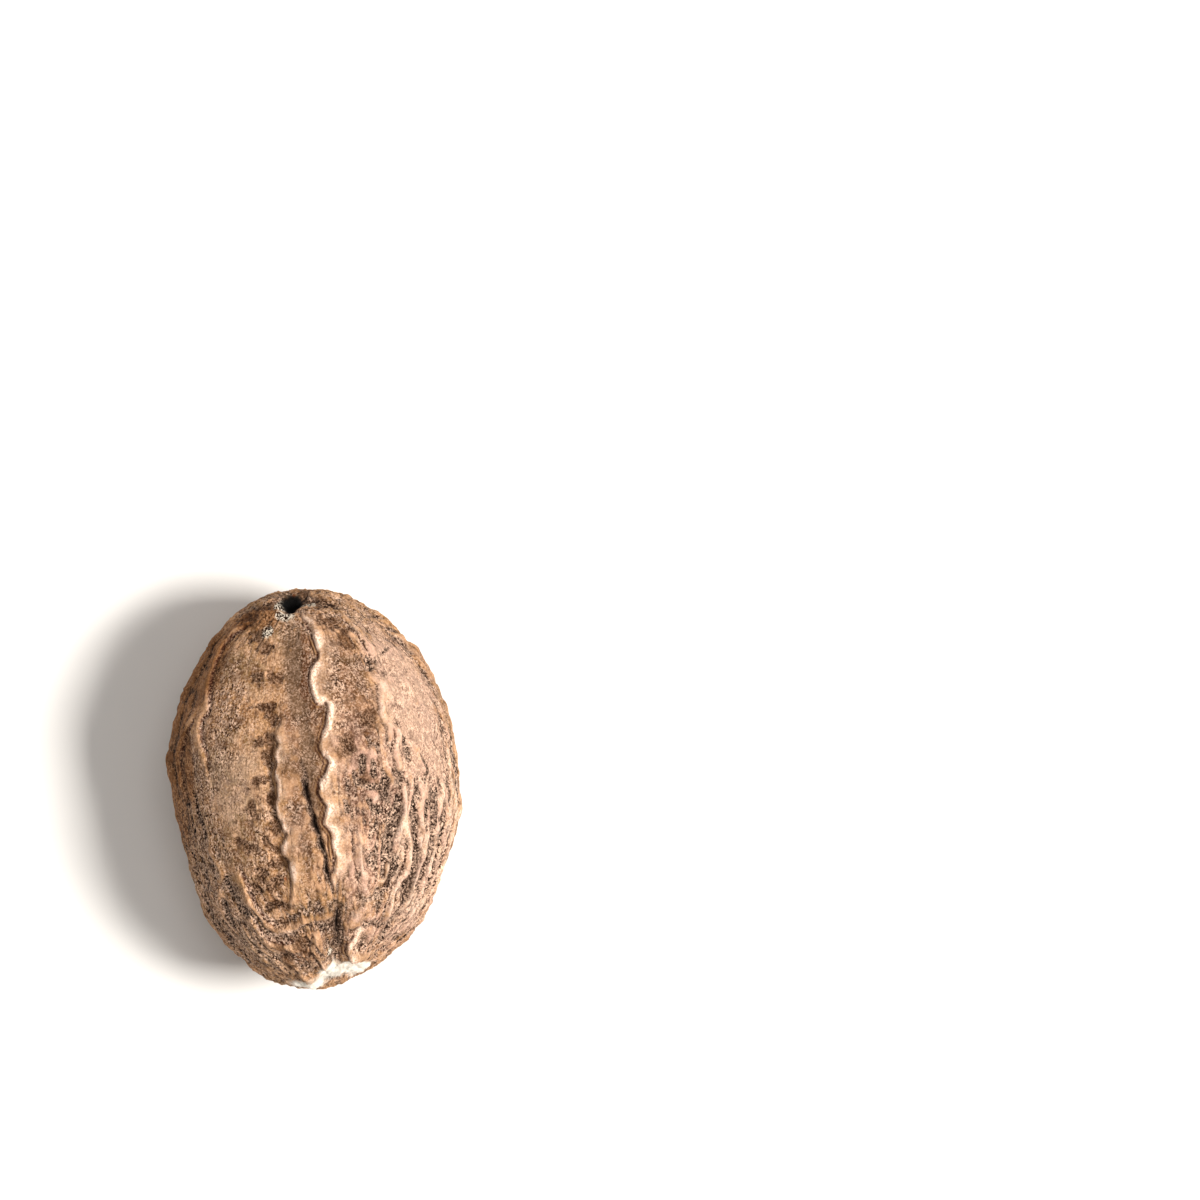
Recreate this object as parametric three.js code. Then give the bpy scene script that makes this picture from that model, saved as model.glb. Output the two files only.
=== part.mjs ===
// A whole dried nutmeg, lying on its back with the raphe, the seam of the seed, uppermost.
// Millimetres. +Z is up, +Y points to the chalaza (the dark pit at one end) and -Y to the hilum
// (the pale scar at the other). The origin is under the middle, on the surface that it lies on.
//
// The nutmeg is one closed skin: an ovoid, pushed in and out along its own normals by named
// folds, creases, dents and a scar, then fitted to its real length, width and height.
import * as THREE from "three";
import { mergeVertices } from "three/addons/utils/BufferGeometryUtils.js";

// Driving dimensions, in millimetres.
const LENGTH = 26;
const WIDTH = 19;
const HEIGHT = 18;
const CROWN = 8.7; // from the widest line up to the raphe side
const BELLY = 9.6; // from the widest line down to the back
const REST_DEPTH = 0.4; // how much of the back is lost to the flat spot that it rests on

// The skin's mesh: an icosahedron's faces cut this many times along each edge, its points pulled
// towards the raphe side. No slope is shorter than such a mesh can hold.
const CUTS = 23;
const PULL = 0.2;
const LEAST_SLOPE = 0.5;
const BROAD_SLOPE = 1; // a slope over this is a shelf, which starts and ends level across

// A place on the nutmeg is [degrees round from the top, millimetres along towards the chalaza].
// A line of relief is drawn through places from its chalaza end to its hilum end. It is so high,
// or deep where that is negative, and so wide on its [left, right], the chalaza being ahead.

// The gutter of the raphe, the hollow on to the micropyle, and the crack that the gutter closes to.
const GUTTER = [
  { high: -0.26, wide: [0.75, 0.7], at: [[-9.5, 11.2], [-8, 9.6], [-6.8, 7.6], [-4.4, 5.6], [-1.6, 4.2]] },
  { high: -0.26, wide: [0.6, 0.6], at: [[-3, 5.4], [-0.8, 3], [-1, 1], [1, -1.6], [5, -4.4]] },
  { high: -0.35, wide: [0.6, 0.5], at: [[7.6, -6.6], [9, -8.8], [10.5, -11]] },
  { high: -0.7, wide: [0.2, 0.2], at: [[-4, 2.4], [-1.9, -0.5], [1.9, -2.9], [7.4, -7]] },
];

// The shelf along the right of the gutter, with its scalloped lip, and the ends of its lobes.
const LIP = [
  {
    high: 0.3,
    wide: [0.2, 3.4],
    at: [
      [-4, 12.2], [3, 10.4], [8.4, 8.9], [2.8, 7], [4.2, 5.6], [8.6, 5], [5.2, 2.8], [8.2, 1.9],
      [3.4, 0], [7.2, -1], [5.6, -1.9], [8, -3], [9, -4.5], [6.8, -5.6], [8.2, -6.8],
    ],
  },
  { high: 0.12, wide: [0.3, 0.5], at: [[4, 8.6], [8.6, 9.4], [6.2, 10.4]] },
  { high: 0.14, wide: [0.3, 0.6], at: [[8.2, 5.6], [9, 4.4], [9.6, 2.4]] },
];

// The smooth shoulder along the left of the gutter, and the ragged edge and hollows that end it.
const SHOULDER = [
  {
    high: 0.28,
    wide: [0.2, 1.6],
    at: [
      [-11.5, 5], [-14, 3.7], [-13, 3], [-14.4, 2.2], [-13, 0.4], [-15, -1], [-10.2, -2.6],
      [-13.2, -3.5], [-10.4, -4.5], [-14, -7.8],
    ],
  },
  { high: 0.24, wide: [0.6, 0.9], at: [[-8, 7], [-10.6, 4.2], [-10, 0.4], [-11, -1]] },
  { high: 0.2, wide: [0.4, 0.4], at: [[-9.5, -1.4], [-7.5, -3.4], [-10.6, -6]] },
  { high: 0.2, wide: [0.4, 0.2], at: [[-0.4, -4.2], [-0.5, -5.5], [2.3, -6.9], [0.8, -7.6]] },
  { high: -0.2, wide: [0.6, 0.3], at: [[-16.5, 3.2], [-16, 1.6], [-17, 0.2], [-15.5, -2.4]] },
  { high: -0.2, wide: [0.6, 0.3], at: [[-15, -3], [-13.6, -4.2], [-16, -6]] },
];

// The long fold over the right flank, broken where the skin is bruised, and the creases round the
// lump beside it.
const RIGHT_FOLD = [
  { high: -0.4, wide: [0.2, 0.2], at: [[-14, 12.7], [11, 12.4], [29.5, 11.8], [38, 11.6]] },
  { high: 0.3, wide: [0.6, 0.5], at: [[26.4, 11.5], [35.9, 10.3], [39.5, 8.7], [42.5, 8.2]] },
  { high: 0.2, wide: [0.2, 1.1], at: [[31.8, 7.3], [36.8, 6.4], [34, 5], [34.2, 3.3], [33.3, 2.5]] },
  { high: 0.3, wide: [0.2, 0.6], at: [[38.4, 3.9], [36, 1.8], [36.7, 0.7]] },
  { high: 0.3, wide: [0.6, 0.2], at: [[36.7, 0.8], [30.9, -0.4], [22.8, -0.9], [25.2, -1.2]] },
  { high: 0.22, wide: [0.5, 0.2], at: [[45.5, 2.5], [51.8, 1.6], [53, 0.1]] },
  { high: -0.25, wide: [0.2, 0.2], at: [[15.6, 1.6], [20.9, 0.3], [28, 0.1], [29.4, 1.5]] },
  { high: -0.25, wide: [0.2, 0.2], at: [[30.6, 0.9], [28.9, -0.6], [25, -0.3]] },
];

// The fan of folds that runs down the right flank and gathers at the hilum, and its hollows.
const FAN = [
  { high: 0.36, wide: [0.2, 0.3], at: [[38.3, 0.4], [37.8, -1.2], [34.9, -2.7], [35.3, -4.2]] },
  { high: 0.5, wide: [0.3, 0.4], at: [[39.1, -1.2], [37.9, -2.1], [42.2, -4.7], [37.3, -7], [40, -8.8]] },
  { high: 0.44, wide: [0.2, 0.4], at: [[46.4, -0.6], [48.6, -3.8], [46.7, -5.7], [49, -8.5]] },
  { high: 0.44, wide: [0.3, 0.4], at: [[57, -0.4], [57, -2.2], [59.9, -3.9], [57.3, -6.3], [60.5, -8.2]] },
  { high: 0.3, wide: [0.35, 0.45], at: [[68, 0], [70, -4.4], [68, -8.4]] },
  { high: 0.28, wide: [0.4, 0.5], at: [[16.4, -1.4], [19.4, -4.6], [23.9, -7.1]] },
  { high: 0.3, wide: [0.2, 1.3], at: [[23.9, -6.9], [18.6, -7.9], [15.4, -8.9]] },
  { high: 0.28, wide: [0.2, 1.1], at: [[23.4, -8.7], [17.1, -10.1], [21.4, -10.9], [26, -11.5]] },
  { high: 0.24, wide: [0.35, 0.4], at: [[29.5, -9], [33.8, -10.6], [39.1, -11.4]] },
  { high: -0.3, wide: [0.3, 0.3], at: [[36.2, -0.3], [30.6, -3], [35.2, -4.9], [32.7, -6.8]] },
  { high: -0.36, wide: [0.2, 0.2], at: [[43, -0.8], [45.1, -2.1], [46, -4.4], [44.7, -6.3], [45, -8.4]] },
  { high: -0.22, wide: [0.2, 0.2], at: [[56.4, -2.4], [56, -4.6], [52, -7]] },
  { high: -0.26, wide: [0.25, 0.3], at: [[60, -1.2], [63.3, -4.4], [69, -7.6]] },
  { high: -0.45, wide: [0.2, 0.2], at: [[44.1, -8.1], [45.1, -9.8], [49.5, -10.6]] },
];

// Folds and creases along the left flank.
const LEFT_FLANK = [
  {
    high: 0.26,
    wide: [0.9, 0.2],
    at: [[-36, 11.1], [-45, 10.5], [-55, 9.6], [-55.6, 7.2], [-51.8, 5.5], [-55.5, 4.6], [-46, 0.6]],
  },
  { high: 0.3, wide: [0.6, 0.2], at: [[-58, 6], [-62.6, 4.5], [-71, 3], [-73.4, 2], [-71, -0.6]] },
  { high: 0.18, wide: [0.3, 0.4], at: [[-80, 8.4], [-80, 6.8], [-67.5, 5.7]] },
  { high: 0.2, wide: [0.25, 0.35], at: [[-55, -1.2], [-50.2, -4.2], [-54.2, -6.1]] },
  { high: 0.24, wide: [0.2, 0.3], at: [[-53, -5.8], [-60, -7.2], [-62.1, -9.6]] },
  { high: 0.2, wide: [0.5, 0.3], at: [[-45, -8], [-44, -9], [-46, -10.2], [-44, -11.2]] },
  { high: -0.3, wide: [0.2, 0.2], at: [[-63, 0.6], [-60.2, -1.2], [-58, -3.2]] },
  { high: -0.3, wide: [0.2, 0.2], at: [[-66.4, -3.7], [-65, -4.7], [-67, -6.4]] },
  { high: -0.2, wide: [0.3, 0.2], at: [[-48.5, -5], [-43.1, -6.9], [-35.7, -7.8]] },
];

// The angular ledge across the left of the hilum end, and lesser ones below it.
const LEDGES = [
  { high: 0.26, wide: [0.8, 0.2], at: [[-37.5, -4.4], [-34.5, -5.9], [-30, -7.5], [-22, -8.9]] },
  { high: 0.18, wide: [0.2, 0.5], at: [[-23, -9], [-9.9, -8.4], [7, -7.9]] },
  { high: 0.26, wide: [0.6, 0.2], at: [[-38.5, -7.2], [-35.3, -8.8], [-24.1, -9.6], [-11, -9.5]] },
  { high: 0.22, wide: [0.3, 0.2], at: [[-39.4, -8.1], [-38.5, -10.4], [-35, -12.2]] },
];

// The ends of the skin round the hilum, and the groove along them.
const HILUM_EDGE = [
  { high: 0.32, wide: [0.2, 0.4], at: [[-1, -8.8], [-3.8, -10.3], [0, -11.3], [5.8, -11.7]] },
  { high: 0.26, wide: [0.5, 0.5], at: [[-29, -10.4], [-25, -11.1], [-17, -12.1]] },
  { high: 0.26, wide: [0.3, 0.3], at: [[80, -9.8], [60.7, -11.9], [38, -12.4]] },
  { high: -0.28, wide: [0.2, 0.2], at: [[72, -9.8], [63.4, -10.9], [41, -11.7]] },
];

// Dents and bumps: [degrees, along, radius across, radius lengthwise, height].
const SPOTS = [
  // The chalaza's pit and the crust beside it.
  [-15.6, 12, 0.7, 1.1, -0.95],
  [-27, 11.5, 0.8, 1.0, 0.25],
  // The lump and the bulge of the right side, and the hollow below the fan.
  [23.5, 1.2, 0.9, 1.1, 0.32],
  [53, 8.8, 0.9, 0.7, 0.16],
  [24.5, -9.6, 0.5, 1.1, -0.35],
  // The micropyle, at the hilum's edge, and the knob across from it.
  [10, -11, 0.6, 0.8, -0.5],
  [-17.7, -12, 0.5, 0.8, 0.25],
  // Broad bulges and flats of the outline.
  [-88, 4.4, 4, 3, 0.45],
  [-88, -2.6, 4, 2.4, -0.1],
  [-88, -10.4, 4, 2.7, -0.35],
  [88, 9.8, 4.5, 3.9, -0.75],
  [88, -6.8, 4.5, 3.2, -0.8],
  [80, -10.8, 4, 2.8, -0.7],
  [62, -12.4, 3, 2.4, -0.35],
];

// The hilum's scar: flattened, with a low rim.
const SCAR = { at: [24, -12.35], radius: 2.3, sunk: 0.35, rim: 0.14, rimWidth: 0.6 };

// The flanks and the back are furrowed from chalaza to hilum by folds that sway. Angles in degrees.
const BACK = {
  folds: 30,
  from: 84, // the first fold's turn from the top
  to: 282, // the last fold's
  reach: 84, // how far towards the ends of the long axis a fold can run
  spread: 30, // how much of that reach it may lose
  sway: 15,
  high: [0.14, 0.32],
  wide: [0.65, 0.95],
};

// Slow swells that keep the ovoid from being regular: [waves per mm along X, Y, Z, phase, height].
const SWELLS = [
  [0.21, 0.13, 0.17, 0.4, 0.16],
  [-0.3, 0.22, 0.12, 2.1, 0.12],
  [0.16, -0.34, 0.33, 4.0, 0.1],
  [0.5, 0.28, -0.42, 1.2, 0.07],
];

const STEPS = 8; // samples between two points of a drawn line
const BENDS = 5; // points that a fold of the back is drawn through
const radians = THREE.MathUtils.degToRad;
const lerp = THREE.MathUtils.lerp;

// A direction from the middle: turned round the long axis from the top, and so far along it.
function direction(turn, cosine) {
  const across = Math.sqrt(Math.max(0, 1 - cosine * cosine));
  return new THREE.Vector3(across * Math.sin(turn), cosine, across * Math.cos(turn));
}

// The direction of a place, and that of a pair of angles: round the axis, and up towards +Y.
const towards = ([degrees, along]) => direction(radians(degrees), (2 * along) / LENGTH);
const lifted = ([turn, lift]) => direction(radians(turn), Math.sin(radians(lift)));

// The ovoid's point in a direction, and its outward direction at one of its points.
const rise = (z) => (z > 0 ? CROWN : BELLY);
const onOvoid = (d) => new THREE.Vector3((d.x * WIDTH) / 2, (d.y * LENGTH) / 2, d.z * rise(d.z));
const outward = (p) =>
  new THREE.Vector3(p.x / (WIDTH / 2) ** 2, p.y / (LENGTH / 2) ** 2, p.z / rise(p.z) ** 2).normalize();

// Points on the ovoid along a smooth line through pairs of numbers, which place turns to directions.
function drawn(pairs, place) {
  const line = new THREE.SplineCurve(pairs.map(([a, b]) => new THREE.Vector2(a, b)));
  return line.getPoints(STEPS * (pairs.length - 1)).map((q) => onOvoid(place([q.x, q.y])));
}

// 0 at the ends of a drawn line and 1 over most of it.
const faded = (share) => Math.min(1, 5 * Math.min(share, 1 - share));

// The relief of a line: a bell across it, with its own slope on each side, that fades at both ends.
// A line too narrow for the mesh is drawn wider and, in part, lower.
function lineRelief({ high, wide, at }, place = towards) {
  const points = drawn(at, place);
  const slopes = wide.map((w) => Math.max(w, LEAST_SLOPE));
  const height = high * Math.sqrt((wide[0] + wide[1]) / (slopes[0] + slopes[1]));
  const broad = Math.max(...wide) > BROAD_SLOPE;
  const first = points[0].y;
  const last = points[points.length - 1].y;
  const box = new THREE.Box3().setFromPoints(points).expandByScalar(3 * Math.max(...slopes));
  const step = new THREE.Vector3();
  const off = new THREE.Vector3();
  return (p, normal) => {
    if (!box.containsPoint(p)) return 0;
    let nearest = Infinity;
    let share = 0;
    let side = 0;
    for (let i = 0; i + 1 < points.length; i++) {
      step.subVectors(points[i + 1], points[i]);
      off.subVectors(p, points[i]);
      const t = THREE.MathUtils.clamp(off.dot(step) / step.lengthSq(), 0, 1);
      off.addScaledVector(step, -t);
      if (off.length() >= nearest) continue;
      nearest = off.length();
      share = (i + t) / (points.length - 1);
      side = off.dot(step.cross(normal).negate());
    }
    if (broad) share = THREE.MathUtils.clamp((first - p.y) / (first - last), 0, 1);
    return height * faded(share) * Math.exp(-((nearest / slopes[side < 0 ? 0 : 1]) ** 2));
  };
}

// The relief of a rounded dent or bump: a bell in the ovoid's tangent plane at its middle.
function spotRelief([degrees, along, across, length, high]) {
  const centre = onOvoid(towards([degrees, along]));
  const normal = outward(centre);
  const lengthwise = new THREE.Vector3(0, 1, 0).projectOnPlane(normal).normalize();
  const crosswise = new THREE.Vector3().crossVectors(lengthwise, normal);
  const off = new THREE.Vector3();
  return (p) => {
    off.subVectors(p, centre);
    const u = off.dot(crosswise) / across;
    const v = off.dot(lengthwise) / length;
    const w = off.dot(normal) / Math.max(across, length);
    return high * Math.exp(-(u * u + v * v + w * w));
  };
}

// The relief of the hilum's scar: flat inside, with a soft rim.
function scarRelief({ at, radius, sunk, rim, rimWidth }) {
  const centre = onOvoid(towards(at));
  return (p) => {
    const d = p.distanceTo(centre);
    const inside = 1 - THREE.MathUtils.smoothstep(d, 0.3 * radius, radius);
    return rim * Math.exp(-(((d - radius) / rimWidth) ** 2)) - sunk * inside;
  };
}

// The relief of one slow swell.
function swellRelief([x, y, z, phase, high]) {
  return (p) => high * Math.sin(x * p.x + y * p.y + z * p.z + phase);
}

// A repeatable draw from 0 to 1, for the k-th choice about the i-th fold.
function draw(i, k) {
  const x = Math.sin(12.9898 * (i + 1) + 78.233 * (k + 1)) * 437.585;
  return x - Math.floor(x);
}

// The relief of the i-th swaying fold of the back.
function backFold(i) {
  const middle = lerp(BACK.from, BACK.to, (i + 0.5) / BACK.folds);
  const start = BACK.reach - BACK.spread * draw(i, 0);
  const end = -BACK.reach + BACK.spread * draw(i, 1);
  const at = [];
  for (let k = 0; k < BENDS; k++) {
    at.push([middle + BACK.sway * (draw(i, k + 2) - 0.5), lerp(start, end, k / (BENDS - 1))]);
  }
  const left = lerp(...BACK.wide, draw(i, 8));
  const right = left * lerp(0.75, 1, draw(i, 10));
  return lineRelief({ high: lerp(...BACK.high, draw(i, 9)), wide: [left, right], at }, lifted);
}

const lines = [GUTTER, LIP, SHOULDER, RIGHT_FOLD, FAN, LEFT_FLANK, LEDGES, HILUM_EDGE].flat();
const reliefs = [
  ...lines.map((line) => lineRelief(line)),
  ...Array.from({ length: BACK.folds }, (_, i) => backFold(i)),
  ...SPOTS.map(spotRelief),
  ...SWELLS.map(swellRelief),
  scarRelief(SCAR),
];

// The skin: a fine ball of triangles laid onto the ovoid and given its relief.
function skin() {
  const ball = new THREE.IcosahedronGeometry(1, CUTS);
  ball.deleteAttribute("normal");
  ball.deleteAttribute("uv");
  const geometry = mergeVertices(ball);
  const position = geometry.getAttribute("position");
  const q = new THREE.Vector3();
  for (let i = 0; i < position.count; i++) {
    q.fromBufferAttribute(position, i);
    q.z += PULL;
    const p = onOvoid(q.normalize());
    const normal = outward(p);
    const height = reliefs.reduce((sum, relief) => sum + relief(p, normal), 0);
    p.addScaledVector(normal, height);
    position.setXYZ(i, p.x, p.y, p.z);
  }
  return fitted(geometry);
}

// Moves and stretches the skin to its real size, with its flat spot on Z = 0.
function fitted(geometry) {
  const position = geometry.getAttribute("position");
  const { min, max } = new THREE.Box3().setFromBufferAttribute(position);
  const floor = min.z + REST_DEPTH;
  geometry.translate(-(min.x + max.x) / 2, -(min.y + max.y) / 2, -floor);
  geometry.scale(WIDTH / (max.x - min.x), LENGTH / (max.y - min.y), HEIGHT / (max.z - floor));
  for (let i = 0; i < position.count; i++) {
    position.setZ(i, Math.max(0, position.getZ(i)));
  }
  geometry.computeVertexNormals();
  return geometry;
}

const shell = new THREE.MeshStandardMaterial({ color: 0xa9825c, roughness: 0.72, metalness: 0 });
const nutmeg = new THREE.Mesh(skin(), shell);
nutmeg.name = "nutmeg";

const part = new THREE.Group();
part.add(nutmeg);

export default part;
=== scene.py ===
import math

import bpy
import numpy as np
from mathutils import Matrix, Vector


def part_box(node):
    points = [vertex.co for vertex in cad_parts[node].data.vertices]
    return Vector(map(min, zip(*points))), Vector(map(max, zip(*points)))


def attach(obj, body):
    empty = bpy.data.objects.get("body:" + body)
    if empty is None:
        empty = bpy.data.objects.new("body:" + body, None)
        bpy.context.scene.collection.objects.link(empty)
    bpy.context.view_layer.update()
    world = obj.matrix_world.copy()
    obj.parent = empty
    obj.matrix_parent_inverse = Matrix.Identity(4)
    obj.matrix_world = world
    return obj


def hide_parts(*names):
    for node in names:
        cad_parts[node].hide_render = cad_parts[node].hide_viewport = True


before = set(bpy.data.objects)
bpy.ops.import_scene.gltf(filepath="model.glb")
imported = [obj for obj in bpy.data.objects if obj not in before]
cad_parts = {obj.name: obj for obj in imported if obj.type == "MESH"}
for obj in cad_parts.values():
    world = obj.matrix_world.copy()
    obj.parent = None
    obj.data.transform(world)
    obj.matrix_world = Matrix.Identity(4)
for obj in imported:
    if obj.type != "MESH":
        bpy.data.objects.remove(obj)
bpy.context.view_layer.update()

# A whole dried nutmeg. Its shell is one closed surface that stands for the solid "nutmeg": the
# same ovoid with the same folds, creases and dents, taken further down to wrinkles and pores.
# Lengths in this script are millimetres, with +Y towards the chalaza and +Z up through the raphe.

MM = 0.001
LOW, HIGH = (np.array(corner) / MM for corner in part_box("nutmeg"))
WIDTH, LENGTH, HEIGHT = HIGH - LOW
CROWN = 0.483 * HEIGHT  # from the widest line up to the raphe
BELLY = 0.533 * HEIGHT  # from the widest line down to the back
REST_DEPTH = 0.4  # how much of the back is lost to the flat spot that it rests on

# The shell's mesh: columns round the long axis, crowded towards the raphe, and rows along it.
COLUMNS = 420
ROWS = 236
CROWDING = 0.48

# A place is (degrees round from the top, millimetres along towards the chalaza). A line of relief
# is (height, slope on its left, slope on its right, undercut, places). Most lines run from the
# chalaza end to the hilum end. Left and right are as seen looking back at the line's first place.
# The undercut is a fine crease at the foot of the steeper slope, darkened by stain and painted
# # shade, and the edge above it is pale, with wear and a painted highlight. Where the undercut is
# # negative, the crease is broader and the edge is only faintly pale.

# The gutter of the raphe, and the hollow on to the micropyle.
GUTTER = [
    (-0.26, 0.75, 0.7, 0, [(-9.5, 11.2), (-8, 9.6), (-6.8, 7.6), (-4.4, 5.6), (-1.6, 4.2)]),
    (-0.26, 0.6, 0.6, 0, [(-3, 5.4), (-0.8, 3), (-1, 1), (1, -1.6), (5, -4.4)]),
    (-0.4, 0.6, 0.5, 0, [(7.6, -6.6), (9, -7.7), (9, -8.8), (9.9, -9.8), (10.5, -11)]),
]

# The crack that the gutter closes to, and the width of the black line of painted shade in it.
CRACK = [
    (-0.4, 0.3, 0.3, 0, [(8.4, -7.4), (9.2, -8.6), (9.6, -9.6), (10.8, -10.9)]),
    (-0.7, 0.16, 0.16, 0, [
        (-4, 2.4), (-3.2, 1.2), (-1.9, -0.5), (0.3, -1.6), (1.9, -2.9), (3.5, -4.3), (5.1, -5.4),
        (7.4, -7),
    ]),
]
CRACK_WIDTH = 0.13

# The shelf along the right of the gutter, with its scalloped lip, and the ends of its lobes.
LIP = [
    (0.3, 0.17, 3.4, 0.2, [
        (-4, 12.2), (-0.5, 11), (3, 10.4), (8.4, 8.9), (3.4, 7.5), (2.4, 6.3), (4.2, 5.6), (8.4, 5.5),
        (8.6, 4.4), (5.4, 3.1), (5.2, 2.6), (8.2, 1.9), (6.8, 1.4), (3.4, 0.2), (3.8, -0.4), (7.2, -1),
        (5.6, -1.9), (7.8, -2.6), (8, -3.7), (9, -4.5), (6.8, -5.6), (8.2, -6.8),
    ]),
    (0.12, 0.3, 0.5, 0, [(4, 8.6), (7.8, 8.85), (8.6, 9.6), (6.2, 10.4)]),
    (0.14, 0.25, 0.6, 0, [(8.2, 5.6), (9, 4.6), (8.6, 3.6), (9.6, 2.4)]),
    (0.12, 0.2, 0.5, 0, [(7.3, 1.85), (9.8, 1.9), (12, 2.2)]),
]

# The smooth shoulder along the left of the gutter, and the ragged edge and hollows that end it.
SHOULDER = [
    (0.28, 0.16, 1.6, 0.12, [
        (-11.5, 5), (-12, 4.2), (-14, 3.7), (-13, 3), (-14.4, 2.4), (-12.6, 1.8), (-14.6, 1.1),
        (-13, 0.4), (-15, -1), (-12.6, -2.1), (-10.2, -2.6), (-13.2, -3.5), (-10.4, -4.3),
        (-10.9, -5.8), (-14, -7.8),
    ]),
    (0.24, 0.6, 0.9, 0, [(-8, 7), (-9.4, 5.4), (-10.6, 4.2), (-10.6, 2.6), (-10, 0.4), (-11, -1)]),
    (0.2, 0.4, 0.35, 0.06, [(-9.5, -1.4), (-7.6, -2.9), (-7.5, -3.9), (-8.8, -5), (-10.6, -6)]),
    (0.18, 0.35, 0.2, 0, [(-0.4, -4.2), (-0.5, -5.5), (1.8, -6.3), (2.3, -6.9), (0.8, -7.6)]),
    (-0.2, 0.6, 0.25, 0, [(-16.5, 3.2), (-16, 1.6), (-17, 0.2), (-16, -1), (-15.5, -2.4)]),
    (-0.2, 0.6, 0.3, 0, [(-15, -3), (-13.6, -4.2), (-15, -5.2), (-16, -6)]),
]

# The long fold over the right flank, broken where the skin is bruised.
RIGHT_FOLD = [
    (-0.4, 0.2, 0.2, 0, [(-14, 12.7), (2, 12.5), (11, 12.35), (22, 12), (29.5, 11.8), (38, 11.6)]),
    (0.2, 0.2, 0.35, 0.1, [(-4, 12.9), (12, 12.6), (23, 12.25), (32, 12)]),
    (0.3, 0.2, 0.5, 0.14, [
        (26.4, 11.5), (30.5, 10.9), (35.9, 10.3), (38.2, 9.6), (39.5, 8.7), (42.5, 8.2),
    ]),
    (0.22, 0.2, 1.1, 0.1, [
        (31.8, 7.3), (36, 6.8), (36.8, 6.2), (34, 5.4), (34, 4.2), (34.2, 3.3), (33.3, 2.5),
    ]),
    (0.3, 0.2, 0.6, 0.16, [(38.4, 3.9), (37.8, 3), (36, 2), (36, 1.4), (36.7, 0.7)]),
    (0.3, 0.6, 0.22, 0.14, [
        (36.7, 0.8), (32.8, 0.2), (30.9, -0.4), (25.3, -0.7), (22.8, -0.9), (25.2, -1.2),
    ]),
    (0.22, 0.5, 0.2, 0.1, [(45.5, 2.5), (49.7, 2.3), (51.8, 1.6), (54.5, 1.1), (53, 0.1)]),
    (-0.16, 0.12, 0.12, 0, [(59.8, 9.1), (53, 8.8), (47, 8.5)]),
    (0.12, 0.3, 0.3, 0.08, [(56.4, 7.2), (58.9, 6.1), (59.2, 5.3), (51.6, 5)]),
    (-0.14, 0.3, 0.3, 0, [(41.1, 3.3), (42.1, 2.5), (45, 1.4)]),
]

# The creases round the lump beside that fold.
CREASES = [
    (-0.38, 0.19, 0.19, 0, [
        (15.6, 1.6), (18, 0.7), (20.9, 0.3), (24, 0), (28, 0.1), (29.6, 0.7), (29.4, 1.5),
    ]),
    (-0.36, 0.17, 0.17, 0, [(21.2, 2.2), (20.9, 1.5), (21.2, 0.7)]),
    (-0.3, 0.16, 0.16, 0, [(25.2, 1.9), (25.8, 1.2), (25, 0.5)]),
    (-0.38, 0.2, 0.2, 0, [(30.6, 0.9), (30.2, 0.2), (28.9, -0.6), (25, -0.3)]),
    (-0.25, 0.14, 0.14, 0, [(21, -0.4), (22.1, -0.8), (23.5, -1.2), (26.2, -1.4), (28, -1.8)]),
    (-0.2, 0.12, 0.12, 0, [(49, 2.3), (52.8, 1.4), (54.2, 0.9), (51.8, 0.4), (50.4, -0.4)]),
    (-0.3, 0.1, 0.1, 0, [(13.3, -0.3), (13.3, -1.5)]),
    (-0.4, 0.18, 0.18, 0, [(33.4, 8.4), (36.4, 8), (35, 7.4)]),
]

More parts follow.
